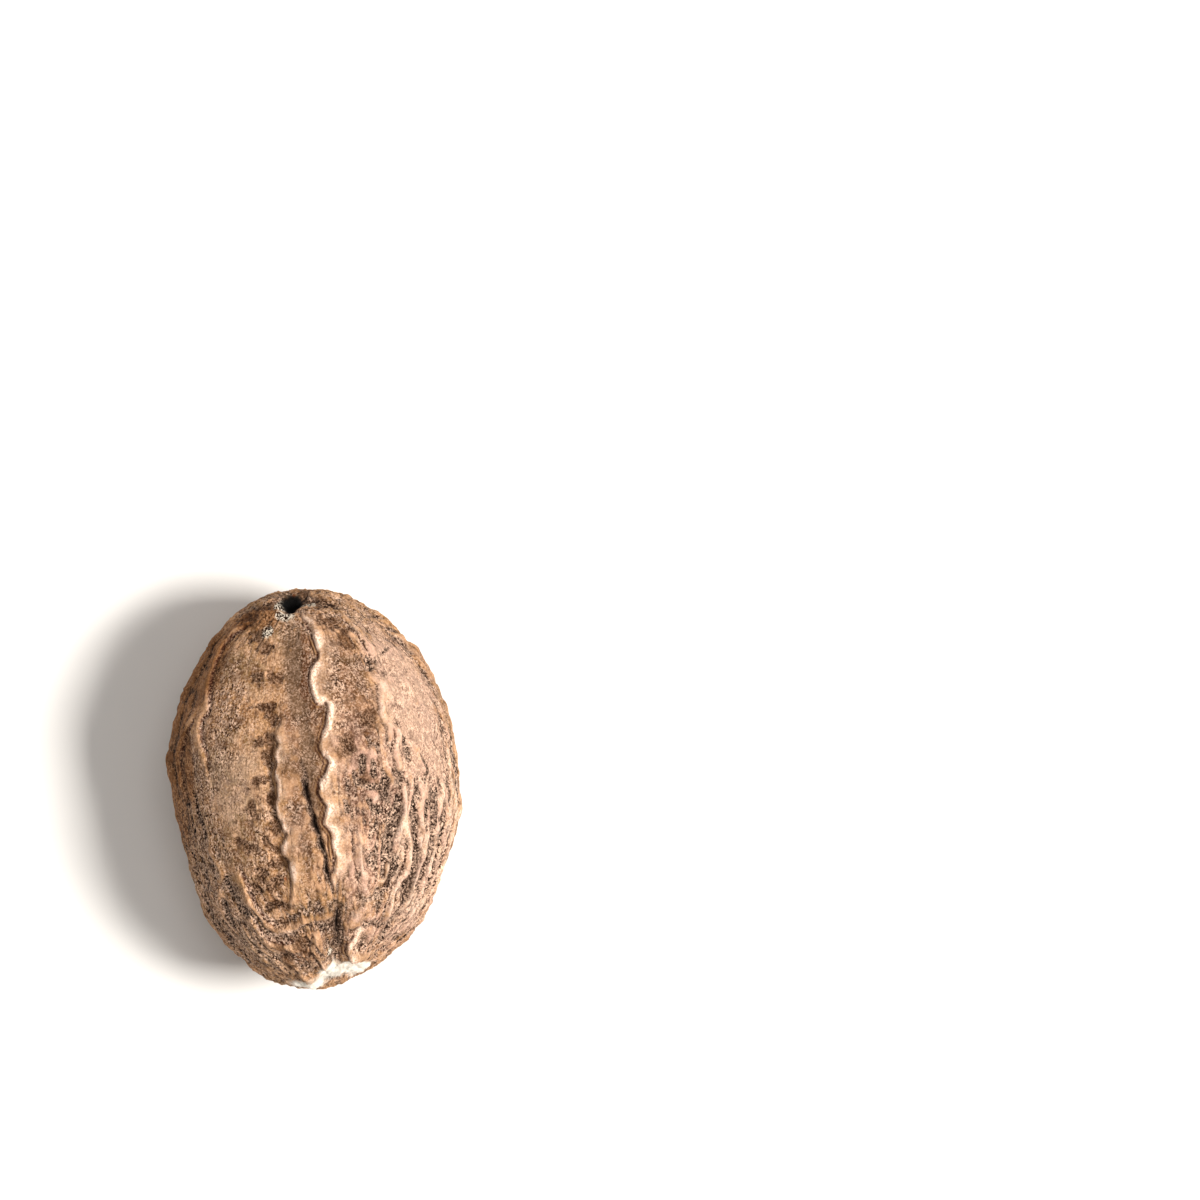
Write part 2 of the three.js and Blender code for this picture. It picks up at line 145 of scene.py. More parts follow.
# The fan of folds that runs down the right flank and gathers at the hilum, and its hollows.
FAN = [
    (0.36, 0.2, 0.3, 0.14, [
        (38.3, 0.4), (39.2, -0.4), (37.8, -1.2), (35.7, -2), (34.9, -2.7), (34.3, -3.5), (35.3, -4.2),
    ]),
    (0.5, 0.28, 0.42, 0.18, [
        (39.1, -1.2), (37.9, -2.1), (40, -3), (41.9, -3.8), (42.2, -4.7), (41.2, -5.6), (38.7, -6.2),
        (37.3, -7), (36.5, -7.7), (37.5, -8.3), (40, -8.8),
    ]),
    (0.44, 0.22, 0.36, 0.16, [
        (46.4, -0.6), (47.2, -1.6), (48.2, -2.7), (48.6, -3.8), (50.5, -4.4), (48.4, -4.9),
        (46.7, -5.7), (48.4, -6.8), (49.4, -7.8), (48.9, -8.5),
    ]),
    (0.44, 0.26, 0.4, 0.16, [
        (57, -0.4), (57.6, -1.2), (57, -2.2), (59.4, -2.8), (59.9, -3.9), (59.5, -4.7), (58.3, -5.4),
        (57.3, -6.3), (58.6, -7.1), (60.5, -8.2),
    ]),
    (0.3, 0.35, 0.45, 0.08, [(68, 0), (68, -2.4), (70, -4.4), (70, -6.4), (68, -8.4)]),
    (-0.3, 0.28, 0.28, 0, [
        (36.2, -0.3), (35.4, -1.1), (33, -2), (30.6, -3), (31.7, -3.9), (35.2, -4.9), (33.5, -5.7),
        (32.7, -6.8),
    ]),
    (-0.36, 0.24, 0.24, 0, [
        (43, -0.8), (45.1, -2.1), (44.5, -3.4), (47.2, -4.4), (44.6, -5.3), (44.7, -6.3), (46.5, -7.2),
        (45, -8.4),
    ]),
    (-0.24, 0.14, 0.14, 0, [(53.2, -0.8), (52.5, -1.4), (50.8, -2.3), (52, -3.2)]),
    (-0.22, 0.2, 0.2, 0, [(56.4, -2.4), (56.9, -3.8), (56, -4.6), (53.4, -5.7), (52, -7)]),
    (-0.26, 0.25, 0.28, 0, [
        (60, -1.2), (61.5, -3.2), (63.3, -4.4), (65.2, -5.7), (66.1, -6.7), (69, -7.6),
    ]),
    (-0.45, 0.22, 0.22, 0, [(44.1, -8.1), (44.2, -9.1), (45.1, -9.8), (49.5, -10.6)]),
    (0.16, 0.16, 0.25, 0.12, [(40.6, -8.6), (41.6, -9), (43, -9.8), (45.7, -10.4)]),
    (0.28, 0.4, 0.5, 0.12, [
        (16.4, -1.4), (17.1, -2.6), (18.1, -3.4), (19.4, -4.6), (21, -5.8), (23.2, -6.5), (23.9, -7.1),
    ]),
    (0.3, 0.16, 1.3, 0.1, [(23.9, -6.9), (22.6, -7.4), (18.6, -7.9), (16.9, -8.5), (15.4, -8.9)]),
    (0.28, 0.16, 1.1, 0.16, [
        (23.4, -8.7), (22, -9.1), (20.1, -9.6), (17.1, -10.1), (17.3, -10.5), (21.4, -10.9),
        (26, -11.5),
    ]),
    (0.24, 0.35, 0.4, 0.04, [(29.5, -9), (31.4, -9.8), (33.8, -10.6), (39.1, -11.4)]),
]

# Folds and creases along the left flank.
LEFT_FLANK = [
    (0.26, 0.9, 0.14, -0.2, [
        (-36, 11.1), (-45, 10.5), (-55, 9.6), (-55.6, 7.2), (-51.8, 5.5), (-55.5, 4.6), (-53.8, 3.4),
        (-50, 2.2), (-48, 0.6),
    ]),
    (0.3, 0.6, 0.18, -0.16, [(-58, 6), (-62.6, 4.5), (-71, 3), (-73.4, 2), (-70.5, 0.3), (-71, -0.6)]),
    (-0.14, 0.14, 0.14, 0, [(-61, 9.6), (-63, 9.3), (-66.5, 8.7), (-70, 8.4), (-74, 7.4)]),
    (0.18, 0.3, 0.4, 0, [(-80, 8.4), (-77, 7.6), (-80, 6.8), (-74, 6.3), (-67.5, 5.7)]),
    (-0.3, 0.22, 0.22, 0, [(-63, 0.6), (-61.1, -0.3), (-60.2, -1.2), (-57.9, -2.2), (-58, -3.2)]),
    (-0.24, 0.18, 0.18, 0, [(-69, 0), (-68.6, -0.8), (-69.2, -1.8), (-68, -2.6)]),
    (-0.3, 0.22, 0.22, 0, [(-66.4, -3.7), (-65, -4.7), (-66.6, -5.6), (-67, -6.4)]),
    (0.2, 0.25, 0.35, 0.05, [
        (-55, -1.2), (-53.4, -3), (-53.8, -3.6), (-50.2, -4.2), (-49.4, -5.1), (-53.4, -5.6),
        (-54.2, -6.1),
    ]),
    (0.24, 0.2, 0.3, 0.08, [
        (-53, -5.8), (-55.6, -6.4), (-60, -7.2), (-61, -7.9), (-61.4, -8.6), (-62.1, -9.6),
    ]),
    (-0.3, 0.16, 0.3, 0, [(-54, -6.4), (-56, -7.1), (-58, -7.9), (-57.5, -8.8)]),
    (-0.16, 0.12, 0.12, 0, [(-72, -7.3), (-66, -7.5), (-61.3, -8.2), (-60.5, -9), (-62.4, -9.9)]),
    (-0.2, 0.3, 0.16, 0, [(-48.5, -5), (-46.3, -5.7), (-43.1, -6.9), (-38.7, -7.4), (-35.7, -7.8)]),
    (0.2, 0.5, 0.3, 0, [(-45, -8), (-44, -9), (-46, -10.2), (-44, -11.2)]),
]

# The angular ledge across the left of the hilum end, and lesser ones below it.
LEDGES = [
    (0.4, 0.8, 0.16, -0.25, [
        (-37.5, -4.4), (-36, -5.3), (-34.5, -5.9), (-32.4, -6.7), (-30, -7.5), (-26, -8.2), (-22, -8.9),
    ]),
    (-0.16, 0.1, 0.1, 0, [(-35, -6.8), (-33.7, -7.2), (-31.4, -7.8), (-28.7, -8.6), (-25, -9.3)]),
    (0.28, 0.15, 0.5, 0.16, [
        (-23, -9), (-21.5, -8.8), (-16.4, -8.65), (-9.9, -8.4), (-3.9, -8.2), (2.7, -8.05), (7, -7.9),
    ]),
    (0.38, 0.6, 0.16, -0.2, [
        (-38.5, -7.2), (-37.2, -7.8), (-35.3, -8.8), (-30.6, -9.4), (-24.1, -9.6), (-16.2, -9.6),
        (-11, -9.5),
    ]),
    (0.22, 0.3, 0.16, 0.08, [
        (-39.4, -8.1), (-39.7, -9.7), (-38.5, -10.4), (-35.2, -11.1), (-35, -12.2),
    ]),
]

# The ends of the skin round the hilum, and the groove along them.
HILUM_EDGE = [
    (0.32, 0.22, 0.4, 0.12, [(-1, -8.8), (-2.9, -9.35), (-3.8, -10.3), (0, -11.3), (5.8, -11.7)]),
    (0.14, 0.3, 0.3, 0, [(1, -9), (2.3, -10.2), (5.9, -10.5)]),
    (0.26, 0.5, 0.5, 0, [(-29, -10.4), (-25, -11.1), (-17, -12.1)]),
    (0.26, 0.3, 0.3, 0.1, [(80, -9.8), (72, -11.4), (60.7, -11.9), (50, -12.3), (38, -12.4)]),
    (-0.28, 0.16, 0.16, 0, [
        (72, -9.8), (70, -10), (67.4, -10.4), (63.4, -10.9), (56.8, -11.2), (49.4, -11.5), (41, -11.75),
    ]),
]

FOLDS = (
    GUTTER + CRACK + LIP + SHOULDER + RIGHT_FOLD + CREASES
    + FAN + LEFT_FLANK + LEDGES + HILUM_EDGE
)

# Dents and bumps: (degrees, along, radius across, radius lengthwise, height).
SPOTS = [
    (-15.6, 12.05, 0.68, 1.1, -0.95),
    (-27, 11.5, 0.8, 1.0, 0.25),
    (31, 11.3, 0.5, 0.4, 0.14),
    (14.5, 2.6, 0.32, 0.6, -0.3),
    (23.5, 1.2, 0.9, 1.1, 0.32),
    (36, 7.8, 0.4, 0.4, -0.35),
    (53, 8.8, 0.9, 0.7, 0.16),
    (30.3, -7.5, 0.36, 0.5, -0.22),
    (24.5, -9.6, 0.5, 1.1, -0.35),
    (10, -11, 0.5, 0.8, -0.8),
    (-17.7, -12, 0.45, 0.8, 0.25),
    (-62, -1.3, 0.3, 0.5, -0.25),
    (-34.4, -9.1, 0.25, 0.3, -0.15),
    (-88, 4.4, 4, 3, 0.45),
    (-88, -2.6, 4, 2.4, -0.1),
    (-88, -10.4, 4, 2.7, -0.35),
    (88, 9.8, 4.5, 3.9, -0.75),
    (88, -6.8, 4.5, 3.2, -0.8),
    (80, -10.8, 4, 2.8, -0.7),
    (62, -12.4, 3, 2.4, -0.35),
]

# Brown stains in shallow dents: (degrees, along, radius across, radius lengthwise).
STAINS = [
    (-30.5, 9.9, 0.6, 0.4),
    (-24, 9.2, 0.5, 0.35),
    (-25.3, 7.3, 0.4, 0.3),
    (-17, 7.3, 0.45, 0.55),
    (-20.4, 5.5, 0.6, 0.22),
    (-17, 5, 0.35, 0.5),
    (-21.7, 3.3, 0.6, 0.2),
    (-17.3, 3.4, 0.4, 0.35),
    (-19.2, 2.4, 0.3, 0.4),
    (-23, 0.7, 0.5, 0.25),
    (-25.3, -0.9, 0.5, 0.6),
    (-33, -3.2, 0.35, 0.3),
    (-27.4, -3.6, 0.3, 0.25),
    (-16.3, -3.4, 0.4, 0.3),
    (-15, -4.3, 0.6, 0.3),
    (-16.5, -2, 0.4, 0.3),
    (-22, -6, 0.3, 0.5),
    (-22.8, -7.1, 0.4, 0.25),
    (-14.2, -7, 0.4, 0.25),
    (14.5, 2.7, 0.35, 0.6),
    (16, 10.6, 0.6, 0.5),
    (6, 12.2, 0.8, 0.4),
    (22, 11.9, 0.7, 0.4),
    (-32, 11.7, 0.5, 0.5),
    (-46, 11, 0.5, 0.6),
    (-6, 12.8, 0.5, 0.7),
    (24, 9.6, 0.6, 0.6),
    (28, 4.5, 0.5, 0.5),
    (23, 0.6, 0.4, 0.3),
    (-10, -9.6, 0.4, 0.9),
    (-26, -10.6, 0.3, 0.9),
    (-19, -5.6, 0.35, 0.3),
    (-25, -5.2, 0.35, 0.4),
    (-21, -2.8, 0.3, 0.3),
    (-29, -5.8, 0.4, 0.3),
    (-17.5, -0.5, 0.25, 0.4),
    (-19, -8.1, 0.4, 0.2),
]

# Differently coloured places, as spots like the stains. First the black pit, whose black is its dark
# # core and the shade on its walls, painted; the ashen crust round it; and the cream scar.
PIT = [(-15, 12.2, 0.86, 1.35)]
CRUST = [
    (-24, 11.8, 0.4, 0.9), (-15, 11.1, 0.7, 0.5), (-24, 10.1, 0.42, 0.5), (2, 12, 0.7, 0.4),
    (5.5, -10.4, 0.25, 0.3),
]
CREAM_SCAR = [(17, -12.2, 1.8, 1.6), (-28, -12.6, 1.6, 1.0), (50, -12.3, 1.2, 1.2)]

# Pinkish places, and pale ones. On the right flank both also paint the light that bounces on to it
# # from the side.
BLUSH = [
    (16, 2, 1.6, 3), (57, 3, 4, 9), (64, -6, 4, 7), (26, 0, 2.4, 3.4), (20, -4.5, 1.8, 3),
    (40, 0, 1.8, 6), (26, -9, 1.6, 2),
]
PALE_SIDE = [
    (54, 4, 4, 9), (40, -2, 2.4, 4), (62, -7, 3, 4), (-27, -10.6, 3, 1.5), (-12, -10.6, 2, 1.4),
    (-34, 0.5, 2.6, 2.6), (-48, -9, 3, 2),
]

# Grainy places, and places so grainy that they look crumbly.
GRIT = [
    (-14, 11, 3, 1.6), (-80, -5, 4, 8), (-45, -8, 3, 3), (13.5, 6, 0.7, 4), (-24, -4.5, 1.4, 4),
    (-42, 5, 1.5, 4), (24.5, -9.6, 0.7, 1.5), (30.3, -7.5, 0.5, 0.7), (-64, -4, 3, 9),
    (2, 12.4, 4.5, 1.6), (30, 11, 3, 1), (28, -3, 1, 3.4), (52, -6, 4, 4), (10, -10.4, 1, 1.6),
]
CRUMBLY = [(-66, -4, 4, 6), (-44, -9, 4, 3), (38, -11, 3, 1.4), (86, -3, 4, 9), (-12, 12, 3, 1)]

# Dusky places; warm brown places, which on the left flank also paint the shade of that side; dark
# # brown streaks, which along the lip's foot paint the shade under the lip; and two reddish specks.
DUSK = [
    (-10, 12.3, 1.8, 1.0), (17, 10.3, 1, 1.2), (31, -1.6, 1.6, 2.4), (23.5, 1.2, 0.9, 1.2),
    (-3, 3.5, 1.4, 9), (17, 6, 2.4, 5), (20, 0, 1.6, 3), (7, -9.3, 1.1, 2), (28, -3.4, 1, 3),
]
WARM = [(-40, 11, 2.4, 1.2), (-63, 8, 1.9, 3.4), (-84, 4, 3, 9), (-66, 2, 1, 3)]
UMBER_STREAKS = [(1, 10, 0.45, 1.4), (0.6, 8, 0.45, 1.4), (-1, 6.6, 0.4, 0.9), (-14, -10.4, 1.6, 0.8)]
EMBERS = [(-20, 12.6, 0.16, 0.3), (-14, -5.4, 0.12, 0.14)]

# Smooth places: the left panel, the shoulder, the gutter and the right plateau.
SMOOTH = [(-38, 1.5, 4.6, 9), (-12, 2, 3, 9.5), (14, 6, 2.8, 4.5), (58, 5, 3.6, 6)]

# Where fine sharp pleats run between the ridges of the fan.
PLEATED = [(48, -4.5, 4, 5), (66, -5, 4, 6), (84, -4, 5, 8)]

# The coloured places: (mask, its spots, how frayed their edges are).
COLOURED = [
    ("pit", PIT, 0.5),
    ("crust", CRUST, 1.2),
    ("cream", CREAM_SCAR, 1),
    ("blush", BLUSH, 1),
    ("pale_side", PALE_SIDE, 1),
    ("dusk", DUSK, 1),
    ("warm", WARM, 0.5),
    ("umber", UMBER_STREAKS, 0.5),
    ("ember", EMBERS, 0),
]

# What is less grainy than the rest: each mask, and how much of the grain it takes away.
CLEAN = {
    "edge": 0.85,
    "gutter": 0.45,
    "crest": 0.5,
    "brow": 0.25,
    "warm": 0.4,
    "scarp": 0.8,
    "stain": 0.35,
}

# The hilum's scar: its place, radius, and how far it is sunk and rimmed.
SCAR_AT = (24, -12.35)
SCAR_RADIUS = 2.3
SCAR_SUNK = 0.35
SCAR_RIM = 0.14
SCAR_RIM_WIDTH = 0.6

# The swaying folds of the flanks and the back. Angles in degrees.
BACK_FOLDS = 30
BACK_FROM, BACK_TO = 84, 282  # the turns of the first and the last from the top
BACK_REACH = 84  # how far towards the ends of the long axis a fold can run
BACK_SPREAD = 30  # how much of that reach it may lose
BACK_SWAY = 15
BACK_HIGH, BACK_WIDE = (0.12, 0.3), (0.55, 0.9)

# Slow swells: (waves per mm along X, Y, Z, phase, height).
SWELLS = [
    (0.21, 0.13, 0.17, 0.4, 0.16),
    (-0.3, 0.22, 0.12, 2.1, 0.12),
    (0.16, -0.34, 0.33, 4.0, 0.1),
    (0.5, 0.28, -0.42, 1.2, 0.07),
]

# How the lines and spots waver: (size, reach, seed) of each layer of noise.
WAVERS = [(1.6, 0.2, 1), (0.6, 0.08, 4), (0.3, 0.035, 7)]

STEPS = 6  # samples from one place of a line to the next
BENDS = 5  # places along a swaying fold

# How a line of relief is drawn.
NARROW = 0.5  # a slope under this is drawn in to a sharper crest, and a groove under it gets painted shade
SHELF = 1  # a slope over this is a shelf, which starts and ends level across the nutmeg
MARKS = ("foot", "edge", "scarp", "brow", "groove_shade")  # the masks that a line can have
REACH, LEAST_REACH = 2.2, 1.1  # how far a line's relief goes: in slopes, and at the least
FADE, SHELF_FADE = 0.22, 0.12  # the share of a line, or of a shelf, over which each end fades
DEEP, THIN = 0.35, 0.25  # a groove deeper and thinner than this has a dark line of painted shade along its bottom
BOTTOM_WIDTH = 0.1
FULL_GROOVE_SHADE, GROOVE_SHADE_SPREAD = 0.22, 1.3  # the depth from which a groove's painted shade is full; how far it spreads
VIGOUR = 0.45  # how much livelier, or tamer, the relief is from one place to the next

# What an undercut adds to a line. Distances are outwards from its foot, or backwards from its edge.
FULL_UNDERCUT = 0.2
FOOT_AT = 1.25  # how far out from the line the foot is, in slopes of the steeper side
FOOT_WIDTH, BROAD_FOOT_WIDTH = 0.07, 0.13
SECOND_FOOT_AT, SECOND_FOOT_WIDTH = 0.23, 0.06
SCARP_AT, SCARP_WIDTH = 0.12, 0.2
BROW_WIDTH = 0.8
SHELF_EDGE = (1.25, 0.8, 0.19)  # how pale it is, with wear and a painted highlight, how far back that reaches, and its rim's width
PLAIN_EDGE = (0.85, 0.14, 0.11)
FAINT_EDGE = 0.12  # how pale an edge is where the undercut is negative
FOOT_DEPTH, EDGE_RISE = 0.1, 0.05

# The fine relief: how high or deep each layer is.
SWAY_HIGH, FURROW_DEEP, CREST_HIGH = 0.1, 0.09, 0.09
LUMP_HIGH, ROUGH_LUMP_HIGH, PEBBLE_HIGH = 0.06, 0.05, 0.03
END_LUMP_HIGH, END_CRACK_DEEP = 0.12, 0.1
PLEAT_HIGH, PLEAT_FLOOR = 0.2, 0.06
STAIN_DEEP, STAIN_SPREAD = 0.12, 1.5

# The heights above the blurred surroundings that count as a full crest: close by, around, afar.
SHARP_CREST, FINE_CREST, BROAD_CREST = 0.03, 0.07, 0.6

# The places that the fibres draw in to, by the chalaza and by the hilum.
CHALAZA_POLE, HILUM_POLE = (-11, 11.7), (20, -12.2)
FIBRE_SHORTENED = 1.2


# -------- the form


def lerp(a, b, share):
    """The number that is so far on the way from a to b."""
    return a + (b - a) * share


def smoothstep(low, high, x):
    """0 up to low, 1 from high, and 3t² - 2t³ of the share t in between. It falls where low is above
    high."""
    t = np.clip((x - low) / (high - low), 0, 1)
    return t * t * (3 - 2 * t)


def bell(x, middle, width):
    """1 where x is at the middle, falling by the exponential of minus its square in widths."""
    return np.exp(-(((x - middle) / width) ** 2))


def direction(turn, cosine):
    """Unit vectors turned round the long axis from the top, with the given share of +Y."""
    across = np.sqrt(np.maximum(0, 1 - cosine**2))
    return np.stack([across * np.sin(turn), cosine + 0 * turn, across * np.cos(turn)], -1)


def on_ovoid(d):
    """The ovoid's point in a direction: an ellipsoid whose lower half is deeper than its upper."""
    rise = np.where(d[..., 2] > 0, CROWN, BELLY)
    return d * np.stack([0 * rise + WIDTH / 2, 0 * rise + LENGTH / 2, rise], -1)


def outward(p):
    """The ovoid's unit normal: the gradient of its equation."""
    rise = np.where(p[..., 2] > 0, CROWN, BELLY)
    n = p / np.stack([0 * rise + WIDTH / 2, 0 * rise + LENGTH / 2, rise], -1) ** 2
    return n / np.linalg.norm(n, axis=-1, keepdims=True)


def place(degrees, along):
    """The direction of a place."""
    return direction(np.radians(degrees), np.asarray(along) * 2 / LENGTH)


def lifted(degrees, lift):
    """The direction so many degrees round from the top and so many up towards the chalaza."""
    return direction(np.radians(degrees), np.sin(np.radians(lift)))


def smooth_line(pairs):
    """A Catmull-Rom curve through pairs of numbers, with STEPS samples from one to the next."""
    p = np.array(pairs, float)
    p = np.vstack([p[:1], p, p[-1:]])
    t = (np.arange(STEPS) / STEPS)[None, :, None]
    a, b, c, d = (p[i : len(p) - 3 + i][:, None] for i in range(4))
    v, w = (c - a) / 2, (d - b) / 2
    q = (2 * b - 2 * c + v + w) * t**3 + (3 * c - 3 * b - 2 * v - w) * t**2 + v * t + b
    return np.vstack([q.reshape(-1, 2), p[-1:]])


def drawn(places):
    """The polyline on the ovoid through a line's places."""
    return on_ovoid(place(*smooth_line(places).T))


def nearest(points, normals, line):
    """For each point: its distance to a polyline, signed by its side, and how far along it is, 0 to 1."""
    a, step = line[:-1], np.diff(line, axis=0)
    off = points[:, None] - a
    t = np.clip((off * step).sum(-1) / (step**2).sum(-1), 0, 1)
    off = off - t[..., None] * step
    distance = np.linalg.norm(off, axis=-1)
    k = distance.argmin(1)
    row = np.arange(len(points))
    side = (off[row, k] * np.cross(normals, step[k])).sum(-1)
    return np.where(side < 0, -1, 1) * distance[row, k], (k + t[row, k]) / len(step)


def near(points, line, reach):
    """The indices of the points inside a polyline's box, widened by reach."""
    inside = (points > line.min(0) - reach) & (points < line.max(0) + reach)
    return np.flatnonzero(inside.all(-1))


def profile(distance, left, right):
    """A ridge's section, 1 at its crest: a bell, drawn in to a sharper crest where it is narrow."""
    slope = np.where(distance < 0, left, right)
    power = np.where(slope < NARROW, 1.15, 2)
    return np.exp(-((np.abs(distance) / slope) ** power))


def undercut_marks(p, out, behind, shelf, undercut, fade):
    """The masks of an undercut, from how far each point is out from its foot and behind its line.
    The foot is a narrow bell, with a second one in places under a shelf; it is coloured as stain
    and painted shade. The edge is a bell on the line's rim and an exponential that fades off behind
    it, in patches; it is painted pale, as wear and as a highlight. The scarp is a bell over the foot,
    and the brow a broad half-bell behind the edge, both only on a shelf; the brow is a painted
    highlight."""
    strength = fade * min(1, abs(undercut) / FULL_UNDERCUT)
    broken = shelf * smoothstep(-0.4, 0.1, grain(p, size=1.7, seed=95))
    width = FOOT_WIDTH if undercut > 0 else BROAD_FOOT_WIDTH
    foot = bell(out, 0, width) + 0.9 * broken * bell(out, SECOND_FOOT_AT, SECOND_FOOT_WIDTH)
    pale, wear_and_highlight, rim = SHELF_EDGE if shelf else PLAIN_EDGE
    pale = pale if undercut > 0 else FAINT_EDGE
    edge = 0.55 * bell(behind, 0.4 * rim, rim) + 0.5 * np.exp(-np.maximum(behind, 0) / wear_and_highlight)
    edge = edge * (0.25 + 0.75 * smoothstep(-0.4, 0.3, grain(p, size=0.9, seed=96)))
    brow = bell(np.maximum(behind, 0), 0, BROW_WIDTH) * smoothstep(-0.2, 0.1, behind)
    return {
        "foot": strength * foot,
        "edge": pale * strength * edge * smoothstep(-0.32, -0.1, behind),
        "scarp": strength * broken * bell(out, SCARP_AT, SCARP_WIDTH),
        "brow": strength**2 * shelf * brow,
    }


def line_relief(points, normals, high, left, right, undercut, line):
    """A line's height, and its masks by name. The height is its profile, faded at both ends, with
    the foot of an undercut cut in and its edge raised. A shelf fades by how far along the nutmeg it
    is. A groove gets painted shade where it is narrow, and a dark line of painted shade along its
    bottom where it is deep and thin."""
    height = np.zeros(len(points))
    marks = {name: np.zeros(len(points)) for name in MARKS}
    inside = near(points, line, max(REACH * left, REACH * right, LEAST_REACH))
    if not len(inside):
        return height, marks
    p = points[inside]
    distance, share = nearest(p, normals[inside], line)
    shelf = max(left, right) > SHELF
    if shelf:
        share = (line[0, 1] - p[:, 1]) / (line[0, 1] - line[-1, 1])
    fade = smoothstep(0, SHELF_FADE if shelf else FADE, np.minimum(share, 1 - share))
    height[inside] = high * fade * profile(distance, left, right)
    if undercut:
        side = -1 if left < right else 1
        out = side * distance - FOOT_AT * min(left, right)
        for name, values in undercut_marks(p, out, -side * distance, shelf, undercut, fade).items():
            marks[name][inside] = values
        height += EDGE_RISE * marks["edge"] - FOOT_DEPTH * marks["foot"]
    # A dark line of painted shade along the bottom of a deep, thin groove.
    if high < -DEEP and left < THIN:
        marks["foot"][inside] = 0.9 * fade * bell(distance, 0, BOTTOM_WIDTH)
    # Painted shade in a narrow groove.
    if high < 0 and max(left, right) < NARROW:
        groove_shading = profile(distance, GROOVE_SHADE_SPREAD * left, GROOVE_SHADE_SPREAD * right)
        marks["groove_shade"][inside] = fade * min(1, -high / FULL_GROOVE_SHADE) * groove_shading
    return height, marks


def lined(points, normals, table, slope=None):
    """A mask along the lines of a table, with their own slopes or with the given one."""
    mask = np.zeros(len(points))
    for _, left, right, _, places in table:
        line = drawn(places)
        height, _ = line_relief(points, normals, 1, slope or left, slope or right, 0, line)
        mask = np.maximum(mask, height)
    return mask


def draw(i, k):
    """A repeatable draw from 0 to 1, for the k-th choice about the i-th fold."""
    x = math.sin(12.9898 * (i + 1) + 78.233 * (k + 1)) * 437.585
    return x - math.floor(x)


def back_fold(i):
    """The i-th swaying fold of the flanks and the back, as a line of relief with its polyline."""
    middle = lerp(BACK_FROM, BACK_TO, (i + 0.5) / BACK_FOLDS)
    start = BACK_REACH - BACK_SPREAD * draw(i, 0)
    end = -BACK_REACH + BACK_SPREAD * draw(i, 1)
    pairs = [
        (middle + BACK_SWAY * (draw(i, k + 2) - 0.5), lerp(start, end, k / (BENDS - 1)))
        for k in range(BENDS)
    ]
    left = lerp(*BACK_WIDE, draw(i, 8))
    right = left * lerp(0.6, 1, draw(i, 10))
    turn, lift = smooth_line(pairs).T
    return lerp(*BACK_HIGH, draw(i, 9)), left, right, 0, on_ovoid(lifted(turn, lift))


def folded(p, bent, n):
    """The height of all the lines of relief, more vigorous in some places than in others, and the
    highest that each of their masks has at each point."""
    vigour = 1 + VIGOUR * cloudy(p, size=1.5, seed=8, octaves=2)
    height = np.zeros(len(p))
    masks = {name: np.zeros(len(p)) for name in MARKS}
    for high, left, right, undercut, places in FOLDS:
        rise, marks = line_relief(bent, n, high, left, right, undercut, drawn(places))
        height += rise * vigour
        masks = {name: np.maximum(masks[name], marks[name]) for name in MARKS}
    for i in range(BACK_FOLDS):
        height += line_relief(bent, n, *back_fold(i))[0] * vigour
    return height, masks


def spot(points, degrees, along, across, length):
    """A rounded spot, 1 at its middle: a bell of the distance in the ovoid's tangent plane, with one
    radius across and one lengthwise."""
    centre = on_ovoid(place(degrees, along))
    normal = outward(centre)
    lengthwise = np.array([0, 1, 0]) - normal * normal[1]
    lengthwise /= np.linalg.norm(lengthwise)
    off = points - centre
    u = off @ np.cross(lengthwise, normal) / across
    v = off @ lengthwise / length
    w = off @ normal / max(across, length)
    return np.exp(-(u**2 + v**2 + w**2))


def spotted(points, table, spread=1):
    """A mask of a table's spots, each as many times its size as spread says."""
    mask = np.zeros(len(points))
    for degrees, along, across, length in table:
        mask = np.maximum(mask, spot(points, degrees, along, spread * across, spread * length))
    return mask


def patches(points, table, ragged):
    """A mask of a table's spots, with edges that are sharper, and frayed by the ragged noise."""
    return smoothstep(0.25, 0.65, spotted(points, table) + 0.4 * ragged)


def dented(bent, stain):
    """The height of the dents and bumps, and of the dents under the stains."""
    height = -STAIN_DEEP * stain
    for degrees, along, across, length, high in SPOTS:
        height += high * spot(bent, degrees, along, across, length)
    return height


def swollen(p):
    """The height of the slow swells: the sum of their sine waves."""
    return sum(high * np.sin(p @ [x, y, z] + phase) for x, y, z, phase, high in SWELLS)


def scarred(bent):
    """The height of the hilum's scar: sunk inside its radius, with a bell for a rim."""
    distance = np.linalg.norm(bent - on_ovoid(place(*SCAR_AT)), axis=-1)
    sunk = 1 - smoothstep(0.3 * SCAR_RADIUS, SCAR_RADIUS, distance)
    return SCAR_RIM * bell(distance, SCAR_RADIUS, SCAR_RIM_WIDTH) - SCAR_SUNK * sunk


def stained(p, bent):
    """The mask of the stains: their spots, frayed by a noise that stays inside them."""
    spots = spotted(bent, STAINS, STAIN_SPREAD)
    frayed = smoothstep(0.1, 0.9, spots + 1.3 * cloudy(p, size=0.55, seed=61))
    return frayed * smoothstep(0.03, 0.4, spots)


def scrambled(x, y, z, seed):
    """Three repeatable numbers from -1 to 1 for each whole-numbered point of space."""
    h = (x * 374761393 + y * 668265263 + z * 2147483647 + seed * 1274126177) & 0xFFFFFFFF
    h = ((h ^ (h >> 13)) * 1103515245) & 0xFFFFFFFF
    h = ((h ^ (h >> 15)) * 668265263) & 0xFFFFFFFF
    return [((h >> shift) & 0x3FF) / 511.5 - 1 for shift in (0, 10, 20)]


